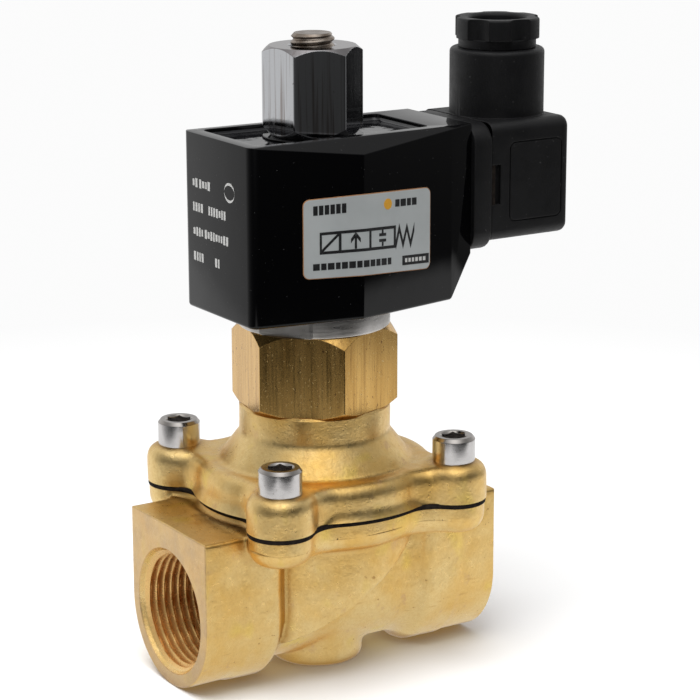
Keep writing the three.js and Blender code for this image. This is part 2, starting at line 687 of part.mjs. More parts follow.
function terminalBase() {
  const { half, low, high, corner } = BASE;
  const plate = along(roundedRectangle(-half, half, low, high, corner), BASE_X, PLUG_X, 3);
  const slots = BLADES.map((blade) => bladeBlock(blade, BLADE.from - 0.2, PLUG_X + 1, 0.1));
  return cutAll(plate, [...slots, rod(EARTH_SCREW_R, BASE_X - 1, PLUG_X + 1, 16, 0, PLUG_Z)]);
}

const GASKET_END = PLUG_X + GASKET.thick;

function connectorGasket() {
  const { half, low, high, corner } = GASKET;
  const sheet = along(roundedRectangle(-half, half, low, high, corner), PLUG_X, GASKET_END, 2);
  const slots = BLADES.map((blade) => bladeBlock(blade, PLUG_X - 1, GASKET_END + 1, FIT));
  return cutAll(sheet, [...slots, rod(PLUG_SCREW.hole, PLUG_X - 1, GASKET_END + 1, 16, 0, PLUG_Z)]);
}

function connectorHousing() {
  const { half, low, high, corner, wall } = CUBE;
  const { radius, bore, chamfer } = BARREL;
  const cube = along(roundedRectangle(-half, half, low, high, corner), GASKET_END, PLUG_END, 3);
  const barrel = turned([
    [0, high - 0.2], [radius, high - 0.2], [radius, BARREL_TOP - chamfer],
    [radius - chamfer, BARREL_TOP], [0, BARREL_TOP],
  ], 32, BARREL_X);
  const { hole, head, sink } = PLUG_SCREW;
  return cutAll(cube.add(barrel), [
    block(GASKET_END - 1, PLUG_END - wall, wall - half - 0.1, half - wall + 0.1, low + wall, high - wall),
    post(bore, high - wall - 1, BARREL_TOP + 1, 40, BARREL_X),
    rod(hole, PLUG_END - wall - 1, PLUG_END + 1, 16, 0, PLUG_Z),
    rod(head + FIT, PLUG_END - sink - 0.1, PLUG_END + 1, 20, 0, PLUG_Z),
  ]);
}

const CONTACT = { from: GASKET_END + 0.6, to: 49, wall: 0.9 };

function contactBlock() {
  const { half, low, high, wall } = CUBE;
  const end = 54;
  const wide = half - wall - 0.2;
  const insert = block(GASKET_END + FIT, end, -wide, wide, low + wall + FIT, high - wall - 0.6);
  const pockets = BLADES.map((blade) =>
    bladeBlock(blade, GASKET_END - 1, CONTACT.to + FIT, CONTACT.wall + FIT));
  return cutAll(insert, [...pockets, rod(PLUG_SCREW.hole, GASKET_END - 1, end + 1, 16, 0, PLUG_Z)]);
}

function contact(blade) {
  const outside = bladeBlock(blade, CONTACT.from, CONTACT.to, CONTACT.wall);
  return outside.subtract(bladeBlock(blade, CONTACT.from - 1, CONTACT.to - 2, FIT / 2));
}

function connectorScrew() {
  const { shank, head, sink } = PLUG_SCREW;
  const start = BASE_X - 3.5;
  const end = PLUG_END - 0.1;
  return turnedAlongX([
    [0, start], [shank, start], [shank, PLUG_END - sink], [head, PLUG_END - sink], [head, end],
    [0, end],
  ], 20, 0, PLUG_Z);
}

// Six grip lobes with scallops between them, one lobe turned to the front left.
function glandNut() {
  const { bore, sleeve, low, neck, grip, gripLow, chamfer } = GLAND;
  const nut = turned([
    [bore, low], [sleeve, low], [sleeve, BARREL_TOP], [neck, BARREL_TOP], [neck, gripLow],
    [grip, gripLow], [grip, GLAND_TOP - chamfer], [grip - chamfer, GLAND_TOP], [bore, GLAND_TOP],
    [bore, low],
  ], 36, BARREL_X);
  const scallops = [0, 1, 2, 3, 4, 5].map((k) => {
    const angle = radians(SCALLOP.turn + 60 * k);
    const x = BARREL_X + SCALLOP.offset * Math.cos(angle);
    const y = SCALLOP.offset * Math.sin(angle);
    return post(SCALLOP.radius, gripLow, GLAND_TOP + 1, 14, x, y);
  });
  return cutAll(nut, scallops);
}

place('terminal_base', terminalBase(), mattBlack);
for (const blade of BLADES) {
  place(`blade_${blade.name}`, bladeBlock(blade, BLADE.from, BLADE.to, 0), turnedBrass);
  place(`contact_${blade.name}`, contact(blade), turnedBrass);
}
place('connector_gasket', connectorGasket(), blackRubber);
place('connector_housing', connectorHousing(), mattBlack);
place('contact_block', contactBlock(), mattBlack);
place('connector_screw', connectorScrew(), stainless);
const sealR = BARREL.bore - FIT;
place('gland_seal', ring(SEAL.bore, sealR, SEAL.low, SEAL.high, 32, BARREL_X), blackRubber);
place('gland_ring', ring(4.5, sealR - 0.1, SEAL.high + 0.2, GLAND.low - FIT, 32, BARREL_X), nylon);
place('gland_nut', glandNut(), mattBlack);

export default group;
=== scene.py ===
"""Looks for a forged brass solenoid valve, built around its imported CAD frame.

Outlines are worked out in millimetres: X runs along the flow, Z runs up the stem, and
heights are measured from the flow axis. Every mesh is written in metres in the frame.
"""
import json
import math

import bpy
import numpy as np
from mathutils import Matrix, Vector


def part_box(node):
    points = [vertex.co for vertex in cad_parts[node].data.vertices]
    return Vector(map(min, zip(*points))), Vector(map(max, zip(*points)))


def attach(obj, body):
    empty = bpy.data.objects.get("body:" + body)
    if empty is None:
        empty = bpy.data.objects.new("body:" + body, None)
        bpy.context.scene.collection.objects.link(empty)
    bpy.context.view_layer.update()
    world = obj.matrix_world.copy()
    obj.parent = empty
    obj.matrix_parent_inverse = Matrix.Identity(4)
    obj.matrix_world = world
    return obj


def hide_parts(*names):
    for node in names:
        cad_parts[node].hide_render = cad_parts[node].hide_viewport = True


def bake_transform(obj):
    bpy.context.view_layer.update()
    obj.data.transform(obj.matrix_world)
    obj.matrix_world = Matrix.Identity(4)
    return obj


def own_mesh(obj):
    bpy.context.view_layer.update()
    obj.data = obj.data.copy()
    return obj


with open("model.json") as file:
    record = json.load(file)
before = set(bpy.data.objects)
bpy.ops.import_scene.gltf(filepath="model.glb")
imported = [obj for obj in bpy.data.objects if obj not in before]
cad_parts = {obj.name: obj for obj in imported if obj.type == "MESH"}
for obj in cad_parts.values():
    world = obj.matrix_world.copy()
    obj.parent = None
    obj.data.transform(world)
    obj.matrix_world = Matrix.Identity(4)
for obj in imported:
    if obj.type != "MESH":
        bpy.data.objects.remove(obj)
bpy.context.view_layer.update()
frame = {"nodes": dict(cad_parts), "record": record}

MM = 0.001
scene = bpy.context.scene
INLET = next(o for o in frame["record"]["physics"]["openings"] if o["name"] == "inlet_port")
FLOW_Z = (INLET["box_m"][0][2] + INLET["box_m"][1][2]) / 2


# ---------------------------------------------------------------- sizes from the frame
def span(node):
    """Lowest and highest corner of a CAD node, in millimetres from the flow axis."""
    low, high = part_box(node)
    rise = np.array([0, 0, FLOW_Z])
    return (np.array(low) - rise) / MM, (np.array(high) - rise) / MM


def centre(node):
    low, high = span(node)
    return (low + high) / 2


def heights(node):
    low, high = span(node)
    return low[2], high[2]


BODY_LOW, BODY_HIGH = span("valve_body")
BONNET_LOW, BONNET_HIGH = span("bonnet")
COIL_LOW, COIL_HIGH = span("coil_housing")
SCREWS = [f"bonnet_screw_{k}" for k in (1, 2, 3, 4)]
FACE_X = BODY_HIGH[0]
REST_Z = BODY_LOW[2]
FLANGE_TOP = BODY_HIGH[2]
SCREW_XY = centre("bonnet_screw_1")[0]
LOBE_R = BONNET_HIGH[0] - SCREW_XY
PLUG_Z = centre("connector_screw")[2]
FLANGE_R = 26.0
FILLET_R = 8.0               # concave fillets between the flange's circle and its lobes
SCREW_HOLE_R = 2.75


# ---------------------------------------------------------------- meshes
def mesh_object(name, vertices, faces):
    mesh = bpy.data.meshes.new(name)
    points = np.asarray(vertices, float) * MM + np.array([0, 0, FLOW_Z])
    mesh.from_pydata(points.tolist(), [], faces)
    mesh.update()
    obj = bpy.data.objects.new(name, mesh)
    scene.collection.objects.link(obj)
    return obj


def loft(name, rings, cyclic=False):
    """Skins rings of points in order; the ends are capped unless the skin closes on itself."""
    rings = np.asarray(rings, float)
    count, size = rings.shape[:2]
    index = np.arange(count * size).reshape(count, size)
    here = index if cyclic else index[:-1]
    above = np.roll(index, -1, 0) if cyclic else index[1:]
    quads = np.stack([here, np.roll(here, -1, 1), np.roll(above, -1, 1), above], -1)
    faces = quads.reshape(-1, 4).tolist()
    if not cyclic:
        faces += [index[0][::-1].tolist(), index[-1].tolist()]
    return mesh_object(name, rings.reshape(-1, 3), faces)


def rounded_path(points, closed=True, steps=6):
    """A polyline whose (u, v, radius) corners become arcs; plain (u, v) corners stay sharp."""
    path = []
    count = len(points)
    for k, point in enumerate(points):
        here = np.array(point[:2], float)
        end = not closed and k in (0, count - 1)
        if len(point) < 3 or end:
            path.append(here)
            continue
        before = np.array(points[k - 1][:2], float) - here
        after = np.array(points[(k + 1) % count][:2], float) - here
        before /= np.linalg.norm(before)
        after /= np.linalg.norm(after)
        half = math.acos(np.clip(before @ after, -1, 1)) / 2
        bisector = (before + after) / np.linalg.norm(before + after)
        middle = here + bisector * point[2] / math.sin(half)
        first = here + before * point[2] / math.tan(half) - middle
        last = here + after * point[2] / math.tan(half) - middle
        start = math.atan2(first[1], first[0])
        sweep = (math.atan2(last[1], last[0]) - start + math.pi) % (2 * math.pi) - math.pi
        for share in np.linspace(0, 1, steps + 1):
            angle = start + sweep * share
            path.append(middle + point[2] * np.array([math.cos(angle), math.sin(angle)]))
    return np.array(path)


def inset(outline, distance):
    """Moves a counter-clockwise outline inwards, along its mitred normals."""
    before = outline - np.roll(outline, 1, 0)
    after = np.roll(outline, -1, 0) - outline
    normals = []
    for edge in (before, after):
        edge = edge / np.linalg.norm(edge, axis=1)[:, None]
        normals.append(np.stack([-edge[:, 1], edge[:, 0]], -1))
    mitre = normals[0] + normals[1]
    mitre /= (mitre * normals[0]).sum(1)[:, None]
    return outline + mitre * distance


def at_height(outline, z):
    return np.column_stack([outline, np.full(len(outline), z)])


def soft_prism(name, outline, low, high, low_edge=0.0, high_edge=0.0, steps=4):
    """An upright prism whose end edges are rounded by the given radii."""
    rings = []
    for share in np.linspace(0, 1, steps + 1):
        angle = share * math.pi / 2
        if low_edge or share == 1:
            shift = low_edge * (1 - math.sin(angle))
            rings.append(at_height(inset(outline, shift), low + low_edge * (1 - math.cos(angle))))
    for share in np.linspace(0, 1, steps + 1):
        angle = share * math.pi / 2
        if high_edge or share == 0:
            shift = high_edge * (1 - math.cos(angle))
            rings.append(at_height(inset(outline, shift), high - high_edge * (1 - math.sin(angle))))
    return loft(name, rings)


def full_turn(count):
    return np.linspace(0, 2 * math.pi, count, endpoint=False)


def revolve(name, profile, segments=128, cyclic=False, middle=(0.0, 0.0)):
    """Turns (radius, z) points about an upright axis; a radius may vary round the turn."""
    angle = full_turn(segments)
    rings = [np.column_stack([middle[0] + r * np.cos(angle), middle[1] + r * np.sin(angle),
                              np.full(segments, z)]) for r, z in profile]
    return loft(name, rings, cyclic)


def height_field(name, radius_at, heights, segments):
    """A solid whose radius is a function of angle and height, such as a thread."""
    return revolve(name, [(radius_at(full_turn(segments), z), z) for z in heights], segments)


def thread_radius(angle, z, pitch, root, crest, round=0.65):
    """Rounded V thread: the share of a turn gives the place across one pitch."""
    phase = np.mod(z / pitch - angle / (2 * math.pi), 1)
    rise = 1 - np.abs(2 * phase - 1)
    rise = np.clip((rise - 0.08) / 0.84, 0, 1)
    shape = (1 - round) * rise + round * rise * rise * (3 - 2 * rise)
    return root + (crest - root) * shape


def transform(obj, matrix):
    """Applies a matrix to a mesh about the crossing of the flow and stem axes."""
    raise_up = Matrix.Translation((0, 0, FLOW_Z))
    obj.data.transform(raise_up @ matrix @ raise_up.inverted())
    return obj


TO_X = Matrix(((0, 0, 1, 0), (1, 0, 0, 0), (0, 1, 0, 0), (0, 0, 0, 1)))


def along_x(obj, y=0.0, z=0.0, flip=False):
    """Turns a mesh made about Z so that its axis lies along X, or along -X."""
    turn = TO_X
    if flip:
        turn = Matrix.Rotation(math.pi, 4, "Z") @ turn
    return transform(obj, Matrix.Translation(Vector((0, y, z)) * MM) @ turn)


def apply_modifiers(obj):
    bpy.context.view_layer.update()
    graph = bpy.context.evaluated_depsgraph_get()
    mesh = bpy.data.meshes.new_from_object(obj.evaluated_get(graph))
    obj.modifiers.clear()
    obj.data = mesh
    return obj


def boolean(obj, cutter, operation="DIFFERENCE"):
    modifier = obj.modifiers.new("cut", "BOOLEAN")
    modifier.object = cutter
    modifier.operation = operation
    modifier.solver = "MANIFOLD"
    apply_modifiers(obj)
    bpy.data.objects.remove(cutter)
    return obj


def slab(x0, x1, y0, y1, z0, z1, corner=0.0):
    """A block with rounded upright corners, used to cut slots and pockets."""
    corners = [(x0, y0), (x1, y0), (x1, y1), (x0, y1)]
    if corner:
        corners = [(x, y, corner) for x, y in corners]
    outline = rounded_path(corners)
    return soft_prism("slab", outline, z0, z1)


def bevelled(obj, width, segments, angle):
    modifier = obj.modifiers.new("edge", "BEVEL")
    modifier.width = width * MM
    modifier.segments = segments
    modifier.limit_method = "ANGLE"
    modifier.angle_limit = math.radians(angle)
    modifier.harden_normals = False
    apply_modifiers(obj)


def smooth(obj, angle=30):
    obj.data.shade_smooth()
    obj.data.set_sharp_from_angle(angle=math.radians(angle))


def piece(obj, name, body, finish, node=None, angle=30):
    """Names, paints and mounts a finished piece, which may stand for a CAD node."""
    obj.name = obj.data.name = name
    obj.data.materials.clear()
    obj.data.materials.append(finish)
    smooth(obj, angle)
    if body:
        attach(obj, body)
    if node:
        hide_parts(node)


def cut_screw_holes(obj, low, high):
    for node in SCREWS:
        x, y, _ = centre(node)
        hole = [(SCREW_HOLE_R, low), (SCREW_HOLE_R, high)]
        boolean(obj, revolve("hole", hole, 32, middle=(x, y)))


def cut_plug_bore(obj, radius, x0, x1, segments=32):
    """A hole about the long screw that holds the plug."""
    bore = revolve("bore", [(radius, x0), (radius, x1)], segments)
    boolean(obj, along_x(bore, 0, PLUG_Z))


def trim(obj, low, high, z0, z1):
    """Cuts away everything between two heights inside a plan box."""
    boolean(obj, slab(low[0], high[0], low[1], high[1], z0, z1))


# ---------------------------------------------------------------- solids from a distance field
def cell_corner_sums(cells, crossings, sizes):
    flat = np.ravel_multi_index(cells.T, sizes)
    total = np.prod(sizes)
    sums = [np.bincount(flat, crossings[:, axis], total) for axis in range(3)]
    return np.stack(sums, -1), np.bincount(flat, minlength=total)


def surface_net(name, field, low, high, step):
    """Closed quad mesh of the zero level of a field that is negative inside."""
    axes = [np.arange(a, b + step, step) for a, b in zip(low, high)]
    grid = np.stack(np.meshgrid(*axes, indexing="ij"), -1)
    value = field(grid.reshape(-1, 3)).reshape(grid.shape[:3])
    sizes = tuple(n - 1 for n in value.shape)
    sums = np.zeros((np.prod(sizes), 3))
    counts = np.zeros(np.prod(sizes))
    quads = []
    for axis in range(3):
        lower = np.take(value, np.arange(value.shape[axis] - 1), axis)
        upper = np.take(value, np.arange(1, value.shape[axis]), axis)
        edge = np.argwhere((lower < 0) != (upper < 0))
        below, above = lower[tuple(edge.T)], upper[tuple(edge.T)]
        crossing = edge.astype(float)
        crossing[:, axis] += below / (below - above)
        others = [a for a in range(3) if a != axis]
        corners = []
        for da, db in ((0, 0), (1, 0), (1, 1), (0, 1)):
            cell = edge.copy()
            cell[:, others[0]] -= da
            cell[:, others[1]] -= db
            added, seen = cell_corner_sums(cell, crossing, sizes)
            sums += added
            counts += seen
            corners.append(np.ravel_multi_index(cell.T, sizes))
        quad = np.stack(corners, -1)
        backwards = (below < 0) == (axis == 1)
        quad[backwards] = quad[backwards][:, ::-1]
        quads.append(quad)
    used = np.flatnonzero(counts)
    number = np.zeros(len(counts), int)
    number[used] = np.arange(len(used))
    points = sums[used] / counts[used][:, None] * step + np.array(low)
    points = settle(field, points)
    return mesh_object(name, points, number[np.concatenate(quads)].tolist())


def settle(field, points, rounds=3, reach=0.04):
    """Moves points onto the field's zero level."""
    for _ in range(rounds):
        slope = np.stack([
            field(points + reach * np.eye(3)[axis]) - field(points - reach * np.eye(3)[axis])
            for axis in range(3)], -1) / (2 * reach)
        steep = np.maximum((slope * slope).sum(1), 0.05)
        points = points - (field(points) / steep)[:, None] * slope
    return points


def join(a, b, blend):
    """Union of two fields with a fillet about as wide as blend."""
    h = np.maximum(blend - np.abs(a - b), 0) / blend
    return np.minimum(a, b) - h * h * blend / 4


def meet(a, b, blend):
    """Intersection of two fields with a rounded edge."""
    return -join(-a, -b, blend)


def waviness(p, size, amount, seed):
    """Slow, small unevenness of a forged surface."""
    rng = np.random.default_rng(seed)
    total = np.zeros(len(p))
    for _ in range(6):
        direction = rng.normal(size=3)
        direction *= 2 * math.pi / (size * rng.uniform(0.7, 1.6) * np.linalg.norm(direction))
        total += np.sin(p @ direction + rng.uniform(0, 6.28))
    return total * amount / 3


def flange_distance(x, y):
    """Plan distance to the flange: a circle and four lobes joined by concave fillets."""
    u, v = np.maximum(np.abs(x), np.abs(y)), np.minimum(np.abs(x), np.abs(y))
    reach = SCREW_XY * math.sqrt(2)
    side, far = LOBE_R + FILLET_R, FLANGE_R + FILLET_R
    spread = math.acos((far ** 2 + reach ** 2 - side ** 2) / (2 * far * reach))
    fu, fv = far * math.cos(math.pi / 4 - spread), far * math.sin(math.pi / 4 - spread)
    plain = np.minimum(np.hypot(u, v) - FLANGE_R, np.hypot(u - SCREW_XY, v - SCREW_XY) - LOBE_R)
    past_round = fu * v - fv * u >= 0
    before_lobe = (SCREW_XY - fu) * (v - fv) - (SCREW_XY - fv) * (u - fu) >= 0
    return np.where(past_round & before_lobe, FILLET_R - np.hypot(u - fu, v - fv), plain)


def flange_outline(count=360):
    """The same outline as points, found along rays from the stem axis."""
    angle = full_turn(count)
    low, high = np.full(count, 20.0), np.full(count, 45.0)
    for _ in range(30):
        radius = (low + high) / 2
        inside = flange_distance(radius * np.cos(angle), radius * np.sin(angle)) < 0
        low, high = np.where(inside, radius, low), np.where(inside, high, radius)
    return np.column_stack([low * np.cos(angle), low * np.sin(angle)])


# ---------------------------------------------------------------- node materials
tree = None                # the node tree that add() works on


def edit(owner):
    """Makes the node tree of a material or world the one that add() works on."""
    global tree
    owner.use_nodes = True
    tree = owner.node_tree
    return tree.nodes


def connect(value, socket):
    """Feeds a socket with a value, an opaque colour or another node's output."""
    if isinstance(value, bpy.types.NodeSocket):
        tree.links.new(value, socket)
    elif isinstance(value, tuple) and len(value) == 3 and len(socket.default_value) == 4:
        socket.default_value = (*value, 1.0)
    else:
        socket.default_value = value


def add(kind, ins=None, **props):
    """Adds a shader node with its properties and inputs."""
    node = tree.nodes.new("ShaderNode" + kind)
    for key, value in props.items():
        setattr(node, key, value)
    for key, value in (ins or {}).items():
        connect(value, node.inputs[key])
    return node


def maths(operation, a, b=0.0, c=0.0):
    return add("Math", {0: a, 1: b, 2: c}, operation=operation).outputs[0]


def times(a, b):
    return maths("MULTIPLY", a, b)


def point():
    """The point in the frame, in metres."""
    return add("TexCoord").outputs["Object"]


def parts_of(vector):
    return add("SeparateXYZ", {0: vector}).outputs


def place(stretch=(1, 1, 1)):
    """The point in the frame, stretched along the axes."""
    return add("Mapping", {"Vector": point(), "Scale": stretch}).outputs[0]


def noise(scale, detail=3.0, stretch=(1, 1, 1), rough=0.55):
    ins = {"Vector": place(stretch), "Scale": scale, "Detail": detail, "Roughness": rough}
    return add("TexNoise", ins).outputs["Fac"]


def ramp(value, low, high, start=0.0, end=1.0):
    ins = {"Value": value, "From Min": low, "From Max": high, "To Min": start, "To Max": end}
    return add("MapRange", ins).outputs["Result"]


def mix(share, a, b):
    return add("Mix", {0: share, 6: a, 7: b}, data_type="RGBA").outputs[2]


def bump(height, strength, distance, normal=None):
    ins = {"Height": height, "Strength": strength, "Distance": distance}
    if normal is not None:
        ins["Normal"] = normal
    return add("Bump", ins).outputs[0]


def worn_edges(radius):
    """Rounds the shading of crisp machined edges."""
    return add("Bevel", {"Radius": radius * MM}, samples=6).outputs[0]


def material(name, build):
    """A Principled material; build() gives its inputs."""
    made = bpy.data.materials.new(name)
    shader = edit(made)["Principled BSDF"]
    for key, value in build().items():
        connect(value, shader.inputs[key])
    return made


def inside_port(radius_low, radius_high, reach=35.2):
    """Ramps up between two radii about the flow axis, but only inside the two threaded ports."""
    where = parts_of(place())
    up = maths("SUBTRACT", where[2], FLOW_Z)
    axial = maths("SQRT", maths("ADD", times(where[1], where[1]), times(up, up)))
    out = maths("ABSOLUTE", where[0])
    edge = reach * MM
    along = times(ramp(out, edge, edge - 0.0002), ramp(out, 0.018, 0.020))
    outside = ramp(axial, 0.0141, 0.0140)
    deep = ramp(axial, radius_low * MM, radius_high * MM)
    return times(times(outside, along), deep)


def top_shade():
    """One on upward-facing tops and chamfers, such as turned ends, zero on the sides; used to paint
    shade on the tops.
    """
    normal = add("NewGeometry").outputs["Normal"]
    return ramp(parts_of(normal)[2], 0.3, 0.5)


def crevice_shade(distance):
    """One in the open, falling towards zero in tight corners; the brass uses it to paint shade
    there.
    """
    node = add("AmbientOcclusion", {"Distance": distance * MM}, samples=8)
    return node.outputs["AO"]


def forged_brass():
    """Bead-blasted forging: soft golden patches, a few stains, a fine matt grain, and painted shade
    in tight corners and in the port thread roots.
    """
    golden, pale, deep = (0.88, 0.555, 0.165), (0.95, 0.70, 0.31), (0.46, 0.22, 0.06)
    patches = mix(ramp(noise(80, 5), 0.35, 0.62), golden, pale)
    yellow = ramp(noise(110, 2, (1, 1.3, 0.8)), 0.6, 0.72, 0, 0.5)
    patches = mix(yellow, patches, (0.95, 0.70, 0.13))
    purple = ramp(noise(210, 4, (1.2, 1, 0.9)), 0.63, 0.72, 0, 0.35)
    patches = mix(purple, patches, (0.60, 0.35, 0.24))
    speckle = ramp(noise(1700, 4, rough=0.8), 0.40, 0.70, 0.0, 0.30)
    patches = mix(speckle, patches, (0.60, 0.34, 0.08))
    scratches = ramp(noise(900, 3, (0.12, 1, 1)), 0.66, 0.72, 0, 0.35)
    patches = mix(scratches, patches, (0.60, 0.34, 0.10))
    pits = ramp(noise(700, 2), 0.725, 0.75, 0, 0.6)
    patches = mix(pits, patches, deep)
    # Painted shade: the brass is darkened towards a deep orange where ambient occlusion finds tight
    # corners and hollows.
    corner = ramp(crevice_shade(3), 0.55, 0.97, 0.85, 0)
    patches = mix(corner, patches, (0.42, 0.22, 0.05))
    where = parts_of(place())
    faced = ramp(maths("ABSOLUTE", where[0]), 0.03672, 0.0369)
    film = mix(ramp(noise(170, 5), 0.42, 0.62), (0.68, 0.46, 0.25), (0.52, 0.36, 0.24))
    patches = mix(times(faced, 0.6), patches, film)
    cut = inside_port(11.5, 12.0, 36.9)
    colour = mix(times(inside_port(11.5, 12.0, 36.0), 0.9), patches, (0.88, 0.55, 0.20))
    # Painted shade: the thread roots inside the ports are darkened to a reddish brown.
    valley_shade = inside_port(12.3, 13.1, 35.6)
    colour = mix(times(valley_shade, 0.9), colour, (0.66, 0.32, 0.08))
    skin = bump(noise(420, 2), 0.25, 0.0003)
    skin = bump(noise(1700, 3, rough=0.75), 0.6, 0.00014, skin)
    rough = ramp(noise(700, 4, rough=0.7), 0.35, 0.65, 0.27, 0.41)
    rough = maths("SUBTRACT", rough, times(cut, 0.10))
    metal = maths("SUBTRACT", 1.0, times(cut, 0.35))
    return {"Base Color": colour, "Metallic": metal, "Roughness": rough, "Normal": skin}


def drawn_brass():
    """Hexagon bar, drawn lengthwise and turned at the ends."""
    streaks = noise(1500, 5, (1, 1, 0.04), 0.65)
    broad = noise(300, 3, (1, 1, 0.10))
    colour = mix(ramp(broad, 0.35, 0.65), (0.60, 0.35, 0.10), (0.76, 0.47, 0.15))
    colour = mix(ramp(streaks, 0.52, 0.7, 0, 0.7), colour, (0.36, 0.19, 0.06))
    marks = ramp(noise(2600, 2, (1, 1, 0.6)), 0.66, 0.72, 0, 0.7)
    colour = mix(marks, colour, (0.95, 0.72, 0.35))
    spots = ramp(noise(1700, 2, (1, 1, 0.5)), 0.66, 0.72, 0, 0.8)
    colour = mix(spots, colour, (0.16, 0.07, 0.03))
    skin = bump(streaks, 0.3, 0.0001, worn_edges(0.2))
    rough = maths("ADD", ramp(streaks, 0.3, 0.7, 0.14, 0.26), times(marks, 0.3))
    return {"Base Color": colour, "Metallic": 1.0, "Roughness": rough, "Normal": skin}


def bright_steel():
    """Turned stainless steel with faint rings and small dark marks."""
    rings = noise(700, 3, (0.15, 0.15, 1))
    marks = ramp(noise(900, 4), 0.62, 0.75, 0, 0.55)
    colour = mix(marks, (0.64, 0.62, 0.61), (0.30, 0.27, 0.25))
    # Painted shade: tops and chamfers that face upwards are darkened.
    colour = mix(times(top_shade(), 0.6), colour, (0.26, 0.23, 0.20))
    skin = bump(rings, 0.12, 0.0001, worn_edges(0.15))
    rough = ramp(noise(500, 2), 0.3, 0.7, 0.14, 0.24)
    return {"Base Color": colour, "Metallic": 1.0, "Roughness": rough, "Normal": skin}


def aged_steel():
    """Stainless steel with a brown film in its thread."""
    colour = mix(ramp(noise(400, 4), 0.35, 0.65), (0.42, 0.37, 0.32), (0.23, 0.18, 0.14))
    skin = bump(noise(1600, 3), 0.3, 0.0001, worn_edges(0.15))
    return {"Base Color": colour, "Metallic": 1.0, "Normal": skin, "Roughness": ramp(noise(600,
                                                                                           3),
                                                                                           0.3,
                                                                                           0.7,
                                                                                           0.22,
                                                                                           0.38)}


def grey_steel():
    """Machined magnetic steel, greyer and rougher than the stainless parts."""
    rings = noise(1400, 4, (0.1, 0.1, 1))
    colour = mix(ramp(noise(220, 4), 0.35, 0.7), (0.48, 0.46, 0.43), (0.64, 0.62, 0.60))
    skin = bump(rings, 0.2, 0.0001, worn_edges(0.2))
    rough = ramp(rings, 0.3, 0.7, 0.25, 0.4)
    return {"Base Color": colour, "Metallic": 1.0, "Roughness": rough, "Normal": skin}


def chrome_plate():
    """Bright plating that still shows the drawn lines of the bar under it."""
    lines = noise(900, 4, (1, 1, 0.025))
    specks = ramp(noise(1800, 2), 0.72, 0.76, 0, 0.8)
    colour = mix(specks, (0.66, 0.67, 0.69), (0.25, 0.24, 0.22))
    scored = ramp(noise(1100, 3, (1, 1, 0.02)), 0.54, 0.64, 0, 0.75)
    colour = mix(scored, colour, (0.30, 0.26, 0.24))
    # Painted shade: the nut's top and upper chamfer are darkened.
    colour = mix(times(top_shade(), 0.8), colour, (0.20, 0.18, 0.18))
    skin = bump(lines, 0.14, 0.0001, worn_edges(0.25))
    rough = ramp(lines, 0.4, 0.7, 0.05, 0.12)
    return {"Base Color": colour, "Metallic": 1.0, "Roughness": rough, "Normal": skin}


def gloss_resin():
    """High-gloss black moulding: almost flat, with faint pulls and a little dust."""
    dust = ramp(noise(2300, 1), 0.775, 0.79, 0, 0.4)
    colour = mix(dust, (0.0015, 0.0015, 0.0018), (0.16, 0.16, 0.16))
    skin = bump(noise(55, 2), 0.10, 0.001, worn_edges(0.3))
    rough = ramp(noise(200, 3), 0.3, 0.7, 0.05, 0.11)
    return {"Base Color": colour, "Roughness": rough, "Normal": skin, "IOR": 1.33}


def potting_epoxy():
    """Poured epoxy, glossier than the moulding and slightly rippled."""
    skin = bump(noise(130, 3), 0.25, 0.0008)
    return {"Base Color": (0.004, 0.004, 0.005, 1), "Roughness": 0.07, "Normal": skin, "IOR": 1.6}


def black_plastic():
    """Spark-eroded black moulding, evenly fine-grained."""
    grain = noise(3200, 4, rough=0.7)
    dust = ramp(noise(1700, 1), 0.74, 0.78, 0, 0.4)
    colour = mix(ramp(noise(120, 3), 0.3, 0.7), (0.003, 0.003, 0.0035), (0.006, 0.006, 0.0065))
    colour = mix(dust, colour, (0.12, 0.12, 0.12))
    skin = bump(grain, 0.45, 0.00012, worn_edges(0.25))
    rough = ramp(noise(400, 2), 0.3, 0.7, 0.42, 0.52)
    return {"Base Color": colour, "Roughness": rough, "Normal": skin, "IOR": 1.40}


def nitrile():
    """Black rubber with a dull, slightly dusty skin."""
    colour = mix(ramp(noise(900, 4), 0.4, 0.7), (0.008, 0.006, 0.005), (0.026, 0.020, 0.016))
    skin = bump(noise(1900, 3), 0.35, 0.0001)
    return {"Base Color": colour, "Roughness": 0.7, "Normal": skin, "IOR": 1.2}


def silver_foil():
    """Satin label film with a soft horizontal brushing."""
    brushing = noise(1500, 3, (0.08, 0.08, 1))
    colour = mix(ramp(noise(90, 3), 0.3, 0.7), (0.52, 0.55, 0.55), (0.61, 0.64, 0.64))
    skin = bump(brushing, 0.08, 0.00005)
    return {"Base Color": colour, "Metallic": 0.25, "Roughness": 0.42, "Normal": skin}


def ink(colour):
    def build():
        patchy = ramp(noise(1200, 3), 0.4, 0.75, 0, 0.35)
        worn = tuple(0.6 * c + 0.04 for c in colour)
        return {"Base Color": mix(patchy, colour, worn), "Roughness": 0.45,
                "Normal": bump(noise(2500, 2), 0.15, 0.00005)}
    return build


def enamelled_copper():
    """Wound wire: fine horizontal turns under a clear enamel."""
    height = parts_of(place())[2]
    turns = maths("SINE", times(height, 2 * math.pi / 0.0005))
    colour = mix(ramp(noise(500, 3), 0.3, 0.7), (0.55, 0.20, 0.08), (0.72, 0.33, 0.15))
    return {"Base Color": colour, "Metallic": 1.0, "Roughness": 0.3, "Normal": bump(turns, 0.6,
                                                                                    0.0002)}


def natural_nylon():
    """Milky nylon with faint flow marks."""
    colour = mix(ramp(noise(260, 4), 0.3, 0.7), (0.62, 0.57, 0.46), (0.72, 0.68, 0.58))
    return {"Base Color": colour, "Roughness": 0.45, "Subsurface Weight": 0.1,
            "Normal": bump(noise(1500, 3), 0.15, 0.0001)}


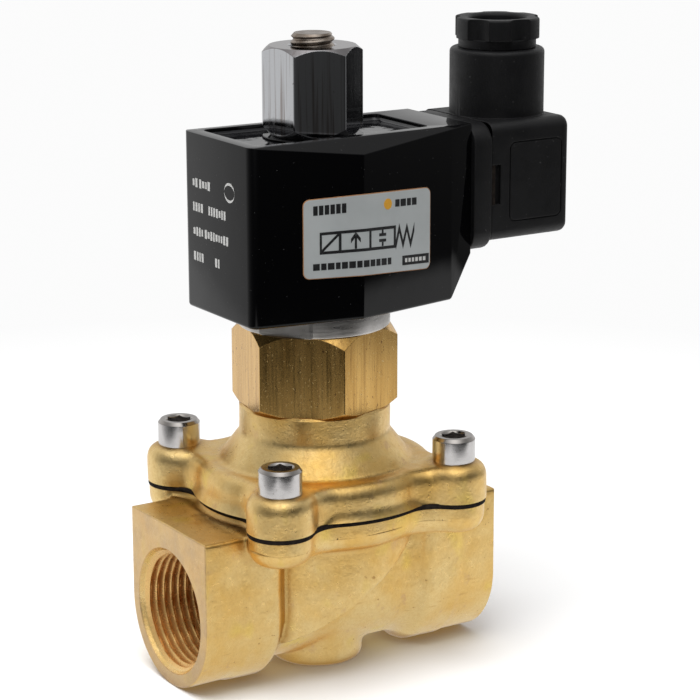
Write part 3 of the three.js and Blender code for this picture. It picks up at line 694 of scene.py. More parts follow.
BRASS = material("forged_brass", forged_brass)
HEX_BRASS = material("machined_brass", drawn_brass)
STAINLESS = material("bright_stainless", bright_steel)
STEEL = material("magnetic_steel", grey_steel)
AGED_STEEL = material("aged_stainless", aged_steel)
CHROME = material("chrome_plate", chrome_plate)
RESIN = material("gloss_black_resin", gloss_resin)
EPOXY = material("potting_epoxy", potting_epoxy)
PLASTIC = material("black_plastic", black_plastic)
RUBBER = material("black_rubber", nitrile)
FOIL = material("silver_label", silver_foil)
COPPER = material("copper", enamelled_copper)
NYLON = material("pale_nylon", natural_nylon)
INK_BLACK = material("ink_black", ink((0.006, 0.006, 0.007)))
INK_WHITE = material("ink_white", ink((0.72, 0.72, 0.70)))
INK_AMBER = material("ink_amber", ink((0.85, 0.42, 0.03)))
EDGE_COPPER = material("label_edge", ink((0.50, 0.24, 0.10)))


# ---------------------------------------------------------------- body, diaphragm, bonnet
BLOCK_X = 19.3
BLOCK_HALF = 16.5
BLOCK_TOP = 19.4
BOWL_R = 22.0
PASSAGE_R = 14.2
PARTITION_Z = 3.4          # height of the sloping partition on the stem axis
PARTITION_SLOPE = 0.63
FLANGE_LOW = 14.4
PITCH = 25.4 / 14          # G 3/4 thread
THREAD_ROOT, THREAD_CREST = 13.22, 12.06
THREAD_END = 22.0
MOUTH_R, MOUTH_DEPTH = 13.9, 1.0
BOSS_R = 10.2
CHAMBER_R, INLET_R, OUTLET_R = 19, 10.5, 9.5
SEAT_RING_R, SEAT_RING_TOP = 12.8, 16
NET_STEP = 0.5             # cell of the grid behind the forged surfaces


def partition(x, z, lift=0.0):
    """Below zero above the sloping partition, raised by lift."""
    return (PARTITION_Z + lift + PARTITION_SLOPE * x - z) / math.hypot(1, PARTITION_SLOPE)


def body_outside(p):
    x, y, z = p.T
    round_z = REST_Z + BLOCK_HALF
    upper = meet(np.abs(y) - BLOCK_HALF, z - BLOCK_TOP, 0.9)
    lower = np.hypot(y, z - round_z) - BLOCK_HALF
    blocks = meet(np.where(z > round_z, upper, lower), BLOCK_X - np.abs(x), 1.6)
    blocks = np.maximum(blocks, np.abs(x) - FACE_X - 1.5)
    passage = np.where(z > 0, np.abs(y), np.hypot(y, z)) - PASSAGE_R
    passage = np.maximum(passage, np.maximum(np.abs(x) - 24, z - FLANGE_LOW - 2))
    bowl = meet(np.hypot(x, y) - BOWL_R, partition(x, z), 0.4)
    bowl = np.maximum(bowl, z - FLANGE_LOW - 2)
    boss = meet(np.maximum(np.hypot(x, y) - BOSS_R, z), REST_Z - z, 1.4)
    flange = meet(flange_distance(x, y), FLANGE_LOW - z, 4.5)
    flange = np.maximum(flange, z - FLANGE_TOP - 1)
    whole = join(join(blocks, passage, 5.0), bowl, 0.4)
    whole = join(whole, boss, 1.6)
    return join(whole, flange, 1.4)


def body_inside(p):
    x, y, z = p.T
    stem = np.hypot(x, y)
    flow = np.hypot(y, z)
    seat_wall = np.minimum(SEAT_RING_R - stem, SEAT_RING_TOP - z)
    inlet = np.maximum(flow - INLET_R, np.maximum(x + 14, -24 - x))
    chamber = join(meet(stem - CHAMBER_R, partition(x, z, 3.6), 1.0), inlet, 1.5)
    chamber = np.maximum(chamber, seat_wall)
    outlet = np.maximum(flow - OUTLET_R, np.maximum(-x, x - 24))
    bend = np.sqrt(x * x + y * y + z * z) - 10
    seat = np.maximum(stem - 10, -z)
    return np.minimum(chamber, join(join(outlet, bend, 1.0), seat, 1.0))


def forged_body(p):
    outside = body_outside(p) + waviness(p, 11, 0.05, 4)
    return meet(outside, -body_inside(p), 0.4)


def block_outline(grow, count=40):
    """The end block seen along the flow, grown outwards."""
    round_z = REST_Z + BLOCK_HALF
    side = BLOCK_HALF + grow
    angle = np.linspace(math.pi, 2 * math.pi, count)
    lower = np.column_stack([side * np.cos(angle), round_z + side * np.sin(angle)])
    upper = [(side, BLOCK_TOP + grow), (-side, BLOCK_TOP + grow)]
    return np.concatenate([upper, lower])


def end_trim():
    """Keeps everything between the port faces and breaks their edges."""
    rings = []
    for x, grow in ((-1, -0.3), (-0.95, 1.55), (-0.95, 40), (0.95, 40), (0.95, 1.55), (1, -0.3)):
        outline = block_outline(grow)
        rings.append(np.column_stack([np.full(len(outline), x * FACE_X), outline]))
    return loft("end_trim", rings)


def port_cutter(flip):
    def radius(angle, z):
        thread = thread_radius(angle, z, PITCH, THREAD_CREST, THREAD_ROOT, 0.35)
        fade = np.clip((z - THREAD_END) / 2, 0, 1)
        thread = THREAD_CREST + (thread - THREAD_CREST) * fade
        depth = FACE_X - z
        return np.maximum(thread, min(MOUTH_R - 0.6 * depth, 13.3 - 1.8 * (depth - MOUTH_DEPTH)))
    heights = np.arange(THREAD_END - 1, FACE_X + 1.5, PITCH / 14)
    return along_x(height_field("port", radius, heights, 144), flip=flip)


def bead(offset, height, radius, seed):
    """Forging flash: a thin wandering ridge round the flange."""
    path = inset(flange_outline(), -offset)
    around = np.append(path, np.full((len(path), 1), height), 1)
    height = height + waviness(around, 14, 0.12, seed)
    thick = radius * np.clip(0.2 + 6 * waviness(around, 7, 0.1, seed + 1), 0.15, 1)
    out = path - np.roll(path, 1, 0)
    out = np.stack([out[:, 1], -out[:, 0]], -1) / np.linalg.norm(out, axis=1)[:, None]
    rings = []
    for angle in full_turn(8):
        ring = path + out * (thick * math.cos(angle))[:, None]
        rings.append(np.append(ring, (height + thick * math.sin(angle))[:, None], 1))
    return loft("bead", np.swapaxes(rings, 0, 1), cyclic=True)


def make_body():
    low, high = BODY_LOW - 3, BODY_HIGH + 3
    obj = surface_net("valve_body", forged_body, low, high, NET_STEP)
    trim(obj, low, high, FLANGE_TOP, FLANGE_TOP + 5)
    trim(obj, low, high, REST_Z - 5, REST_Z)
    boolean(obj, end_trim(), "INTERSECT")
    boolean(obj, bead(-0.1, 18.1, 0.3, 5), "UNION")
    for side in (-1, 1):
        x0, x1 = sorted((side * 20, side * 34))
        flash = bead(1.3, BLOCK_TOP, 0.24, 6)
        boolean(flash, slab(x0, x1, -BLOCK_HALF, BLOCK_HALF, FLANGE_LOW, FLANGE_TOP), "INTERSECT")
        boolean(obj, flash, "UNION")
    for flip in (False, True):
        boolean(obj, port_cutter(flip))
    cut_screw_holes(obj, FLANGE_LOW - 3, FLANGE_TOP + 1)
    piece(obj, "forged_body", "valve", BRASS, "valve_body", angle=40)


CONE_BASE, CONE_Z = 20.9, 29.6
NECK_R, NECK_Z, NECK_TOP = 16.5, 35.35, BONNET_HIGH[2]
SEAT_Z = 29.7


def bonnet_outside(p):
    x, y, z = p.T
    stem = np.hypot(x, y)
    lobes = np.hypot(np.abs(x) - SCREW_XY, np.abs(y) - SCREW_XY)
    plan = flange_distance(x, y)
    plate = meet(plan, z - SEAT_Z + 0.45, 3.4)
    seats = meet(lobes - LOBE_R, z - SEAT_Z, 3.2)
    lean = (CONE_BASE - NECK_R) / (NECK_Z - CONE_Z)
    cone = (stem - CONE_BASE + (z - CONE_Z) * lean) / math.hypot(1, lean)
    neck = np.maximum(stem - NECK_R, z - NECK_TOP - 1)
    top = join(np.maximum(cone, z - NECK_Z), neck, 0.5)
    whole = join(join(plate, seats, 1.5), top, 0.8)
    return np.maximum(whole, BONNET_LOW[2] - 1 - z)


def make_bonnet():
    def field(p):
        return bonnet_outside(p) + waviness(p, 9, 0.04, 8)
    low, high = BONNET_LOW - 3, BONNET_HIGH + 3
    obj = surface_net("bonnet", field, low, high, NET_STEP)
    trim(obj, low, high, low[2] - 3, BONNET_LOW[2])
    bore = [(17.5, 20), (17.5, 27.4), (11.6, 27.4), (11.6, 31), (8, 31), (8, 35.4), (13.3, 35.4),
            (13.3, NECK_TOP), (NECK_R - 0.5, NECK_TOP), (NECK_R + 1.5, NECK_TOP - 2),
            (NECK_R + 3, NECK_TOP - 2), (NECK_R + 3, NECK_TOP + 4)]
    boolean(obj, revolve("bore", bore))
    cut_screw_holes(obj, 20, SEAT_Z + 2)
    piece(obj, "forged_bonnet", "valve", BRASS, "bonnet", angle=40)


DISC_R, DOME_R = 13.3, 17.2    # the diaphragm's roll lies between these radii, where the real sheet flexes
ROLL = 0.35


def make_diaphragm():
    """A rubber sheet with one shallow roll between its clamped rim and the disc it lifts with."""
    low, high = heights("diaphragm")
    rim = inset(flange_outline(), -0.05)
    around = rim / np.linalg.norm(rim, axis=1)[:, None]
    flex = np.linspace(0, 1, 9)
    stations = [(3.2, 0), (8, 0)] + [
        (DISC_R + (DOME_R - DISC_R) * t, ROLL * math.sin(math.pi * t)) for t in flex] + [(19, 0)]
    under = [at_height(around * r, low + rise) for r, rise in stations]
    over = [at_height(around * r, high + rise) for r, rise in reversed(stations)]
    edge = [at_height(inset(rim, 0.1), low), at_height(inset(rim, -0.12), low - 0.12),
            at_height(inset(rim, -0.2), low + 0.1), at_height(inset(rim, -0.2), high - 0.1),
            at_height(inset(rim, -0.12), high + 0.12), at_height(inset(rim, 0.1), high)]
    obj = loft("diaphragm", under + edge + over, cyclic=True)
    cut_screw_holes(obj, low - 1, high + 1)
    piece(obj, "diaphragm_sheet", None, RUBBER, "diaphragm")
    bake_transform(obj)
    points = np.array([v.co for v in obj.data.vertices])
    share = np.clip((DOME_R - np.hypot(points[:, 0], points[:, 1]) / MM) / (DOME_R - DISC_R), 0, 1)
    share = share * share * (3 - 2 * share)


KEY_R = 2.89               # corner radius of a 5 mm hexagon key


def make_screw(node):
    """Socket-head screw: rounded head, chamfered hexagon socket, cut thread."""
    low, high = span(node)
    x, y, _ = centre(node)
    head = high[0] - x
    profile = rounded_path([
        (0.6, SEAT_Z), (head, SEAT_Z, 0.2), (head, high[2] - 0.75, 0.2),
        (head - 0.6, high[2], 0.12), (0.6, high[2])], closed=False)
    obj = revolve(node, profile, 96)
    corners = [(KEY_R * math.cos(a), KEY_R * math.sin(a), 0.15)
               for a in np.radians(range(0, 360, 60))]
    boolean(obj, soft_prism("socket", rounded_path(corners), high[2] - 3.2, high[2] + 1))
    boolean(obj, revolve("lead", [(2.2, high[2] - 0.7), (3.4, high[2] + 0.3)], 64))

    def shank(angle, z):
        return thread_radius(angle, z, 0.8, 2.05, 2.5) * np.clip((z - low[2]) * 0.6 + 0.7, 0, 1)
    boolean(obj, height_field("shank", shank, np.arange(low[2], SEAT_Z + 0.5, 0.1), 24), "UNION")
    obj.data.transform(Matrix.Translation(Vector((x, y, 0)) * MM))
    piece(obj, f"socket_{node}", "valve", STAINLESS, node)


# ---------------------------------------------------------------- stem
def hexagon(radius, turn, corner=0.3):
    angles = np.radians(turn + 60 * np.arange(6))
    return rounded_path([(radius * math.cos(a), radius * math.sin(a), corner) for a in angles])


def chamfered_hexagon(name, radius, turn, low, high, low_cone, high_cone, corner=0.3):
    """A hexagon whose corners are turned off by cones, (end radius, height)."""
    obj = soft_prism(name, hexagon(radius, turn, corner), low, high)
    wide = radius + 0.01
    envelope = revolve("envelope", [
        (low_cone[0], low), (wide, low + low_cone[1]), (wide, high - high_cone[1]),
        (high_cone[0], high)], 240)
    return boolean(obj, envelope, "INTERSECT")


UNION_TURN = -41
NUT_TURN = -22.3


def make_union():
    low, high = heights("union_nut")
    obj = chamfered_hexagon("union", 18.3, UNION_TURN, NECK_TOP, high, (16.5, 1.2), (16.3, 2.3))

    def spigot(angle, z):
        return thread_radius(angle, z, 1.5, 12.4, 13.0)
    boolean(obj, height_field("spigot", spigot, np.arange(low, NECK_TOP + 0.5, 0.15), 96), "UNION")
    bore = [(11.3, low - 1), (11.3, 37.6), (6.8, 37.6), (6.8, high + 1)]
    boolean(obj, revolve("bore", bore, 96))
    piece(obj, "union_hexagon", "valve", HEX_BRASS, "union_nut")


def make_collar():
    low, high = heights("collar_ring")
    profile = rounded_path([(6.8, low), (16.5, low, 0.4), (16.5, high, 0.4), (6.8, high)])
    obj = revolve("collar", profile, 192, cyclic=True)
    for turn in (0, 180):
        flat = slab(15.3, 20, -12, 12, low - 1, high + 1)
        transform(flat, Matrix.Rotation(math.radians(turn - 144.4), 4, "Z"))
        boolean(obj, flat)
    piece(obj, "collar", "valve", STEEL, "collar_ring")


def make_coil_nut():
    low, high = heights("coil_nut")
    obj = chamfered_hexagon("nut", 10.92, NUT_TURN, low, high, (9, 2.2), (9.3, 1.4), 0.6)
    bore = [(5.6, low - 1), (5.0, low + 0.6), (5.0, high - 0.6), (5.6, high + 1)]
    boolean(obj, revolve("bore", bore, 96))
    piece(obj, "tall_nut", "valve", CHROME, "coil_nut")


def make_core():
    """Pole piece with its threaded stud."""
    low, top = heights("fixed_core")
    seat = 98.6

    def stud(angle, z):
        thread = thread_radius(angle, z, 1.5, 4.1, 4.7)
        return np.minimum(thread, 3.9 + np.clip(top - z, 0, 9) * 0.9)
    obj = height_field("core", stud, np.append(np.arange(seat - 0.5, top, 0.1), top), 72)
    pole = [(5.85, low), (5.85, 98), (6.5, 98), (6.5, seat), (1, seat)]
    boolean(obj, revolve("pole", pole, 96), "UNION")
    groove = [(3.85, low - 1), (5.05, low - 1), (5.05, low + 1.6), (3.85, low + 1.6)]
    boolean(obj, revolve("groove", groove, 96, cyclic=True))
    piece(obj, "pole_and_stud", "valve", AGED_STEEL, "fixed_core")


def make_washer():
    low, high = span("coil_washer")
    profile = rounded_path([(5.2, low[2]), (high[0], low[2], 0.05), (high[0], high[2], 0.15),
                            (5.2, high[2], 0.05)])
    obj = revolve("washer", profile, 128, cyclic=True)
    piece(obj, "nut_washer", "valve", RESIN, "coil_washer")


# ---------------------------------------------------------------- coil
COIL_LEFT, COIL_RIGHT = COIL_LOW[0], COIL_HIGH[0]
COIL_BASE, COIL_TOP = COIL_LOW[2], COIL_HIGH[2]
COIL_HALF = 14.2
BULGE = np.array([1, COIL_HIGH[1], 98.4])
SHOULDER = (26.5, 13.6)
COIL_END = 12.4
SCREW_BORE_R = 1.6         # hole for the plug's long screw


def mirrored(points):
    """Closes a plan drawn from left to right on the +Y side over the X axis, counter-clockwise."""
    below = [(p[0], -p[1], *p[2:]) for p in points]
    return rounded_path(below + points[::-1])


def slanted_cut(side):
    """A block above the sloping facet that runs from the bulge up to the straight rim."""
    start = Vector((COIL_LEFT, side * COIL_HALF, COIL_TOP))
    peak = Vector((BULGE[0], side * BULGE[1], BULGE[2]))
    end = Vector((COIL_RIGHT, side * COIL_END, COIL_TOP))
    normal = (peak - start).cross(end - peak)
    normal = normal if normal.z > 0 else -normal
    turn = normal.to_track_quat("Z", "Y").to_matrix().to_4x4()
    return transform(slab(-90, 90, -90, 90, 0, 30), Matrix.Translation(peak * MM) @ turn)


def make_coil_housing():
    outline = mirrored([(COIL_LEFT, COIL_HALF, 2.3), (BULGE[0], BULGE[1], 0.5), (*SHOULDER, 1.2),
                        (COIL_RIGHT, COIL_END)])
    obj = soft_prism("coil", outline, COIL_BASE, COIL_TOP, 0.8, 0)
    for side in (1, -1):
        boolean(obj, slanted_cut(side))
    toe = np.array([(SHOULDER[0], COIL_BASE), (COIL_RIGHT, 72.8)])
    lean = math.atan2(toe[1][1] - toe[0][1], toe[1][0] - toe[0][0])
    cut = slab(-40, 40, -40, 40, -30, 0)
    transform(cut, Matrix.Translation(Vector((toe[0][0], 0, toe[0][1])) * MM)
              @ Matrix.Rotation(-lean, 4, "Y"))
    boolean(obj, cut)
    pocket = mirrored([(-20.5, 12.3, 2.0), (23, 10.4, 1.6)])
    boolean(obj, soft_prism("pocket", pocket, 96.8, COIL_TOP + 2))
    boolean(obj, slab(-19.8, 19.8, -9.4, 9.4, 65, 97.8, 0.5))
    boolean(obj, revolve("well", [(15.6, 68.2), (15.6, 93.8)]))
    boolean(obj, revolve("bore", [(7.2, COIL_BASE - 2), (7.2, 66)], 64))
    cut_plug_bore(obj, SCREW_BORE_R, 28, COIL_RIGHT + 1)
    bevelled(obj, 0.22, 3, 20)
    obj.modifiers.new("triangles", "TRIANGULATE")
    apply_modifiers(obj)
    piece(obj, "coil_moulding", "coil", RESIN, "coil_housing", angle=60)


def make_potting():
    """Resin poured into the pocket, drawn up a little where it wets the wall."""
    outline = mirrored([(-20.45, 12.25, 2.0), (22.95, 10.35, 1.6)])
    low, level = heights("potting")
    rings = [at_height(outline, low + 0.05)]
    for shift, climb in ((0, 0.65), (0.15, 0.35), (0.4, 0.12), (0.8, 0.02), (1.1, 0), (1.5, 0)):
        rings.append(at_height(inset(outline, shift), level - 0.15 + climb))
    obj = loft("potting", rings)
    boolean(obj, revolve("hole", [(6.9, low - 1), (6.9, level + 1)], 96))
    piece(obj, "potted_top", "coil", EPOXY, "potting")


def front_surface(u, lift):
    """Plan point on the coil's bent front face at x = u, held off it by lift."""
    left, peak = np.array([COIL_LEFT, -COIL_HALF]), np.array([BULGE[0], -BULGE[1]])
    right = np.array([SHOULDER[0], -SHOULDER[1]])
    normals = []
    for a, b in ((left, peak), (peak, right)):
        run = (b - a) / np.linalg.norm(b - a)
        normals.append(np.array([run[1], -run[0]]))
    if abs(u - peak[0]) < 1e-6:
        both = normals[0] + normals[1]
        return peak + both / (both @ normals[0]) * lift
    a, b, n = (left, peak, normals[0]) if u < peak[0] else (peak, right, normals[1])
    return a + (b - a) * (u - a[0]) / (b[0] - a[0]) + n * lift


def side_surface(u, lift):
    """Plan point on the coil's flat left face, u running towards the front."""
    return np.array([COIL_LEFT - lift, -u])


def ribbons(name, strips, surface, under, over):
    """Thin closed strips on a wall; each is a list of (u, low z, high z) stations."""
    vertices, faces = [], []
    for strip in strips:
        start = len(vertices)
        for u, low, high in strip:
            near, far = surface(u, over), surface(u, under)
            vertices += [(*near, low), (*near, high), (*far, high), (*far, low)]
        for k in range(len(strip) - 1):
            for side in range(4):
                a, b = start + 4 * k + side, start + 4 * k + (side + 1) % 4
                faces.append([a, a + 4, b + 4, b])
        last = start + 4 * (len(strip) - 1)
        faces += [[start, start + 1, start + 2, start + 3], [last + 3, last + 2, last + 1, last]]
    return mesh_object(name, vertices, faces)


LABEL_LEFT, LABEL_RIGHT = -12.4, 19.9


def label_height(u, share):
    """Height on the label, share running from its lower edge to its upper edge."""
    ends = (LABEL_LEFT, BULGE[0], LABEL_RIGHT)
    low = np.interp(u, ends, (73.2, 72.9, 71.5))
    high = np.interp(u, ends, (89.7, 90.0, 89.0))
    return low + (high - low) * share


LABEL_TALL = 16.9


def label_strip(u0, u1, low, high, corner=0.0):
    """A bar on the label with rounded corners; low and high are shares of its height."""
    stations = {u0, u1}
    if u0 < BULGE[0] < u1:
        stations.add(BULGE[0])
    turns = np.linspace(0, math.pi / 2, 7)
    if corner:
        stations |= {u0 + corner * (1 - math.cos(a)) for a in turns}
        stations |= {u1 - corner * (1 - math.cos(a)) for a in turns}
    strip = []
    for u in sorted(stations):
        gap = max(0.0, corner - min(u - u0, u1 - u))
        trim = corner - math.sqrt(max(corner * corner - gap * gap, 0.0))
        trim = min(trim / LABEL_TALL, (high - low) / 2 - 1e-4)
        strip.append((u, label_height(u, low + trim), label_height(u, high - trim)))
    return strip


def label_quad(a, b, thick):
    """A slanting stroke on the label between two (u, share) points."""
    (u0, s0), (u1, s1) = sorted((a, b))
    lean = abs(s1 - s0) * LABEL_TALL / max(u1 - u0, 1e-3)
    tall = thick * math.sqrt(1 + lean * lean) / LABEL_TALL / 2
    cuts = [u0, u1] if not u0 < BULGE[0] < u1 else [u0, BULGE[0], u1]
    return [(u, *(label_height(u, np.interp(u, (u0, u1), (s0, s1)) + d) for d in (-tall, tall)))
            for u in cuts]


def label_dot(u, share, radius):
    turns = np.linspace(0.02, math.pi - 0.02, 15)
    strip = []
    for a in turns:
        x, half = u - radius * math.cos(a), radius * math.sin(a) / LABEL_TALL
        strip.append((x, label_height(x, share - half), label_height(x, share + half)))
    return strip


def greeked(u0, u1, low, high, widths, gap=0.35):
    """A row of word-length bars standing for lettering."""
    strips = []
    scale = (u1 - u0 - gap * (len(widths) - 1)) / sum(widths)
    u = u0
    for width in widths:
        strips.append(label_strip(u, u + width * scale, low, high))
        u += width * scale + gap
    return strips


def valve_symbol():
    """Two-position valve diagram: two boxes, a flow arrow, a blocked port, a coil and a spring."""
    strips = []
    low, high, line = 0.30, 0.58, 0.62
    edges = (-4.4, 2.6, 9.6)
    for u in edges:
        strips.append(label_strip(u - line / 2, u + line / 2, low, high))
    rail = line / LABEL_TALL
    for a, b in zip(edges, edges[1:]):
        for share in (low, high - rail):
            inner = a + line / 2 + 0.01, b - line / 2 - 0.01
            strips.append(label_strip(*inner, share, share + rail))
    strips.append(label_strip(-1.15, -0.65, low + rail + 0.004, 0.50))
    strips.append(label_quad((-2.0, 0.44), (-0.92, 0.52), 0.6))
    strips.append(label_quad((-0.88, 0.52), (0.2, 0.44), 0.6))
    for share in (low + rail + 0.004, 0.50):
        strips.append(label_strip(5.85, 6.35, share, share + 0.05))
    for share in (low + rail + 0.056, 0.465):
        strips.append(label_strip(5.1, 7.1, share, share + rail))
    for share in (low, high - rail):
        strips.append(label_strip(-8.4, -4.67, share, share + rail))
    strips.append(label_strip(-8.9, -8.42, low, high))
    strips.append(label_quad((-8.4, low + 0.04), (-4.7, high - 0.04), 0.55))
    zigzag = [(9.9, 0.33), (10.9, 0.54), (12.0, 0.33), (13.1, 0.54), (14.2, 0.33), (15.3, 0.54)]
    strips += [label_quad(a, b, 0.55) for a, b in zip(zigzag, zigzag[1:])]
    return strips


def make_label():
    outline = label_strip(LABEL_LEFT, LABEL_RIGHT, 0.0, 1.0, 1.3)
    plate = ribbons("plate", [outline], front_surface, 0.0, 0.22)
    piece(plate, "rating_label", "coil", FOIL, "label_plate")
    rim = label_strip(LABEL_LEFT - 0.14, LABEL_RIGHT + 0.14, -0.009, 1.009, 1.4)
    edge = ribbons("rim", [rim], front_surface, 0.0, 0.16)
    piece(edge, "label_backing", "coil", EDGE_COPPER)
    dark = valve_symbol()
    dark += greeked(-10.3, -3.0, 0.80, 0.92, (1, 1, 1, 1, 1, 1), 0.28)
    dark += greeked(9.7, 15.9, 0.81, 0.90, (1.2, 1.5, 1.1, 1.3), 0.3)
    words = (1, 0.8, 1, 0.7, 0.9, 1, 0.8, 1, 0.9, 0.8, 1, 0.7)
    dark += greeked(-10.4, 8.6, 0.10, 0.185, words, 0.3)
    dark.append(label_strip(11.8, 19.6, 0.07, 0.19, 0.1))
    light = greeked(12.6, 18.6, 0.105, 0.155, (1, 1, 1, 1.2, 1.2, 1.2), 0.35)
    for name, strips, under, over, finish in (
            ("dark", dark, 0.2, 0.245, INK_BLACK), ("light", light, 0.22, 0.26, INK_WHITE),
            ("amber", [label_dot(7.6, 0.855, 1.15)], 0.2, 0.245, INK_AMBER)):
        print_on = ribbons("ink", strips, front_surface, under, over)
        piece(print_on, f"label_print_{name}", "coil", finish)


def side_row(middle, words, start, rng):
    """One row of printed blocks on the coil's left face; words are (letters, gap after)."""
    strips = []
    u = start
    for letters, gap in words:
        for _ in range(letters):
            tall = 0.95 * rng.choice((0.75, 1.0, 1.0))
            wide = rng.uniform(0.55, 0.95)
            strips.append([(end, middle - tall, middle + tall) for end in (u, u + wide)])
            u += wide + 0.42
        u += gap
    return strips


def make_side_print():
    rng = np.random.default_rng(21)
    rows = []
    for middle, words in ((90.8, ((2, 0.4), (4, 2.2))), (85.6, ((4, 2.0), (7, 0))),
                          (80.3, ((4, 0.4), (9, 0))), (74.9, ((4, 4.6), (2, 0)))):
        rows += side_row(middle, words, -10.2, rng)
    turns = np.linspace(0.02, math.pi - 0.02, 17)
    for sign in (1, -1):
        rim = [(5.4 - 2.1 * math.cos(a), 90.8 + sign * 1.55 * math.sin(a),
                90.8 + sign * 2.1 * math.sin(a)) for a in turns]
        rows.append([(u, *sorted((low, high))) for u, low, high in rim])
    obj = ribbons("ink", rows, side_surface, -0.02, 0.03)
    piece(obj, "side_print", "coil", INK_WHITE)


# ---------------------------------------------------------------- terminals and plug
PLUG_LOW, PLUG_HIGH = span("connector_housing")
PLATE_LOW, PLATE_HIGH = span("terminal_base")
BARREL_X = (span("gland_nut")[0][0] + span("gland_nut")[1][0]) / 2


def turned_prism(name, outline, x0, x1, edge0=0.0, edge1=0.0):
    """A prism along X from an outline in (y, z), its end edges rounded."""
    return transform(soft_prism(name, outline, x0, x1, edge0, edge1), TO_X)


def box_outline(y0, y1, z0, z1, radius):
    return rounded_path([(y0, z0, radius), (y1, z0, radius), (y1, z1, radius), (y0, z1, radius)])


def make_terminal_base():
    low, high = PLATE_LOW, PLATE_HIGH
    outline = box_outline(low[1], high[1], low[2], high[2], 4.5)
    obj = turned_prism("base", outline, low[0], high[0], 0.3, 0.7)
    for y, z, dy, dz in ((9, PLUG_Z, 0.5, 3.25), (-9, PLUG_Z, 0.5, 3.25),
                         (0, PLUG_Z - 9, 3.25, 0.5)):
        boolean(obj, slab(33.8, high[0] + 1, y - dy, y + dy, z - dz, z + dz))
    cut_plug_bore(obj, SCREW_BORE_R, low[0] - 1, high[0] + 1)
    piece(obj, "terminal_plate", "coil", PLASTIC, "terminal_base")


def make_plug():
    low, high = PLUG_LOW, PLUG_HIGH
    outline = box_outline(low[1], high[1], low[2], 101, 2.4)
    obj = turned_prism("plug", outline, low[0], high[0], 0.1, 1.6)
    barrel = rounded_path([
        (1, 96), (10.5, 96), (10.5, high[2], 1.0), (1, high[2])], closed=False)
    boolean(obj, revolve("barrel", barrel, 160, middle=(BARREL_X, 0)), "UNION")
    boolean(obj, slab(low[0] - 1, high[0] - 2.2, -11.3, 11.3, 77, 98.8, 0.8))
    boolean(obj, revolve("bore", [(7.7, 98), (7.7, high[2] + 1)], 96, middle=(BARREL_X, 0)))
    for radius, start in ((1.9, 54), (3.2, 56.4)):
        cut_plug_bore(obj, radius, start, 60, 64)
    for side in (1, -1):
        lip = sorted((side * (abs(low[1]) - 0.9), side * (abs(low[1]) + 1)))
        boolean(obj, slab(low[0] - 1, low[0] + 2.3, *lip, 83, 91.8))
        face = side * abs(low[1])
        panel = box_outline(42, 56.3, 78.7, 96.5, 1.6)
        groove = loft("groove", [
            np.column_stack([o[:, 0], np.full(len(o), face + depth), o[:, 1]])
            for o, depth in ((inset(panel, 0), 0.3), (inset(panel, 0), -0.3),
                             (inset(panel, 0.35), -0.3), (inset(panel, 0.35), 0.3))], cyclic=True)
        boolean(obj, groove)
    piece(obj, "plug_shell", "coil", PLASTIC, "connector_housing", angle=35)


def make_gasket():
    low, high = span("connector_gasket")
    outline = box_outline(low[1] - 0.3, high[1] + 0.3, low[2] - 0.2, high[2] + 0.2, 2.4)
    obj = turned_prism("gasket", outline, low[0], high[0])
    boolean(obj, slab(low[0] - 1, high[0] + 1, -10.5, 10.5, 77.5, 98.2, 0.8))
    piece(obj, "plug_gasket", "coil", RUBBER, "connector_gasket")


def make_gland_nut():
    low, high = span("gland_nut")
    profile = rounded_path([
        (6.35, low[2]), (7.35, low[2], 0.2), (7.35, 115.55), (8.6, 115.55, 0.15), (8.6, 117.6),
        (9.5, 117.6, 0.25), (9.5, high[2], 0.5), (6.35, high[2], 0.9)])
    obj = revolve("gland", profile, 192, cyclic=True, middle=(BARREL_X, 0))
    for k in range(6):
        angle = math.radians(27.6 + 60 * k)
        x, y = BARREL_X + 11.8 * math.cos(angle), 11.8 * math.sin(angle)
        boolean(obj, revolve("scallop", [(3.7, 117.6), (3.7, high[2] + 1)], 64, middle=(x, y)))
    piece(obj, "gland_cap", "gland_nut", PLASTIC, "gland_nut")


def make_connector_screw():
    low, high = span("connector_screw")
    profile = rounded_path([(0.3, low[0]), (1.4, low[0], 0.3), (1.4, 56.5), (2.9, 56.5, 0.1),
                            (2.9, high[0], 0.7), (0.3, high[0])], closed=False)
    obj = revolve("screw", profile, 64)
    boolean(obj, slab(-4, 4, -0.4, 0.4, high[0] - 1, high[0] + 1))
    along_x(obj, 0, PLUG_Z)
    piece(obj, "plug_screw", "coil", STAINLESS, "connector_screw")


# ---------------------------------------------------------------- parts inside
def helix(name, radius, wire, low, high, turns):
    """A compression spring with closed ends."""
    steps = turns * 40
    rings = []
    for k in range(steps + 1):
        share = k / steps
        angle = share * turns * 2 * math.pi
        climb = np.clip((share * turns - 0.75) / (turns - 1.5), 0, 1)
        z = low + wire + (high - low - 2 * wire) * climb
        z += wire * 0.9 * (min(share * turns, 0.75) + max(share * turns - turns + 0.75, 0) - 0.75)
        z = np.clip(z, low + wire, high - wire)
        out = np.array([math.cos(angle), math.sin(angle), 0])
        around = full_turn(12)
        rings.append(out * radius + np.array([0, 0, z]) + wire * (
            np.outer(np.cos(around), out) + np.outer(np.sin(around), [0, 0, 1])))
    return loft(name, rings)


def make_springs():
    low, high = span("armature_spring")
    obj = helix("spring", 2.4, 0.4, low[2], high[2], 6)
    piece(obj, "plunger_spring", "valve", STAINLESS, "armature_spring")
    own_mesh(obj)
    low, high = span("return_spring")
    obj = helix("spring", 9.8, 0.5, low[2], high[2], 3)
    piece(obj, "disc_spring", "valve", STAINLESS, "return_spring")
    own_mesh(obj)


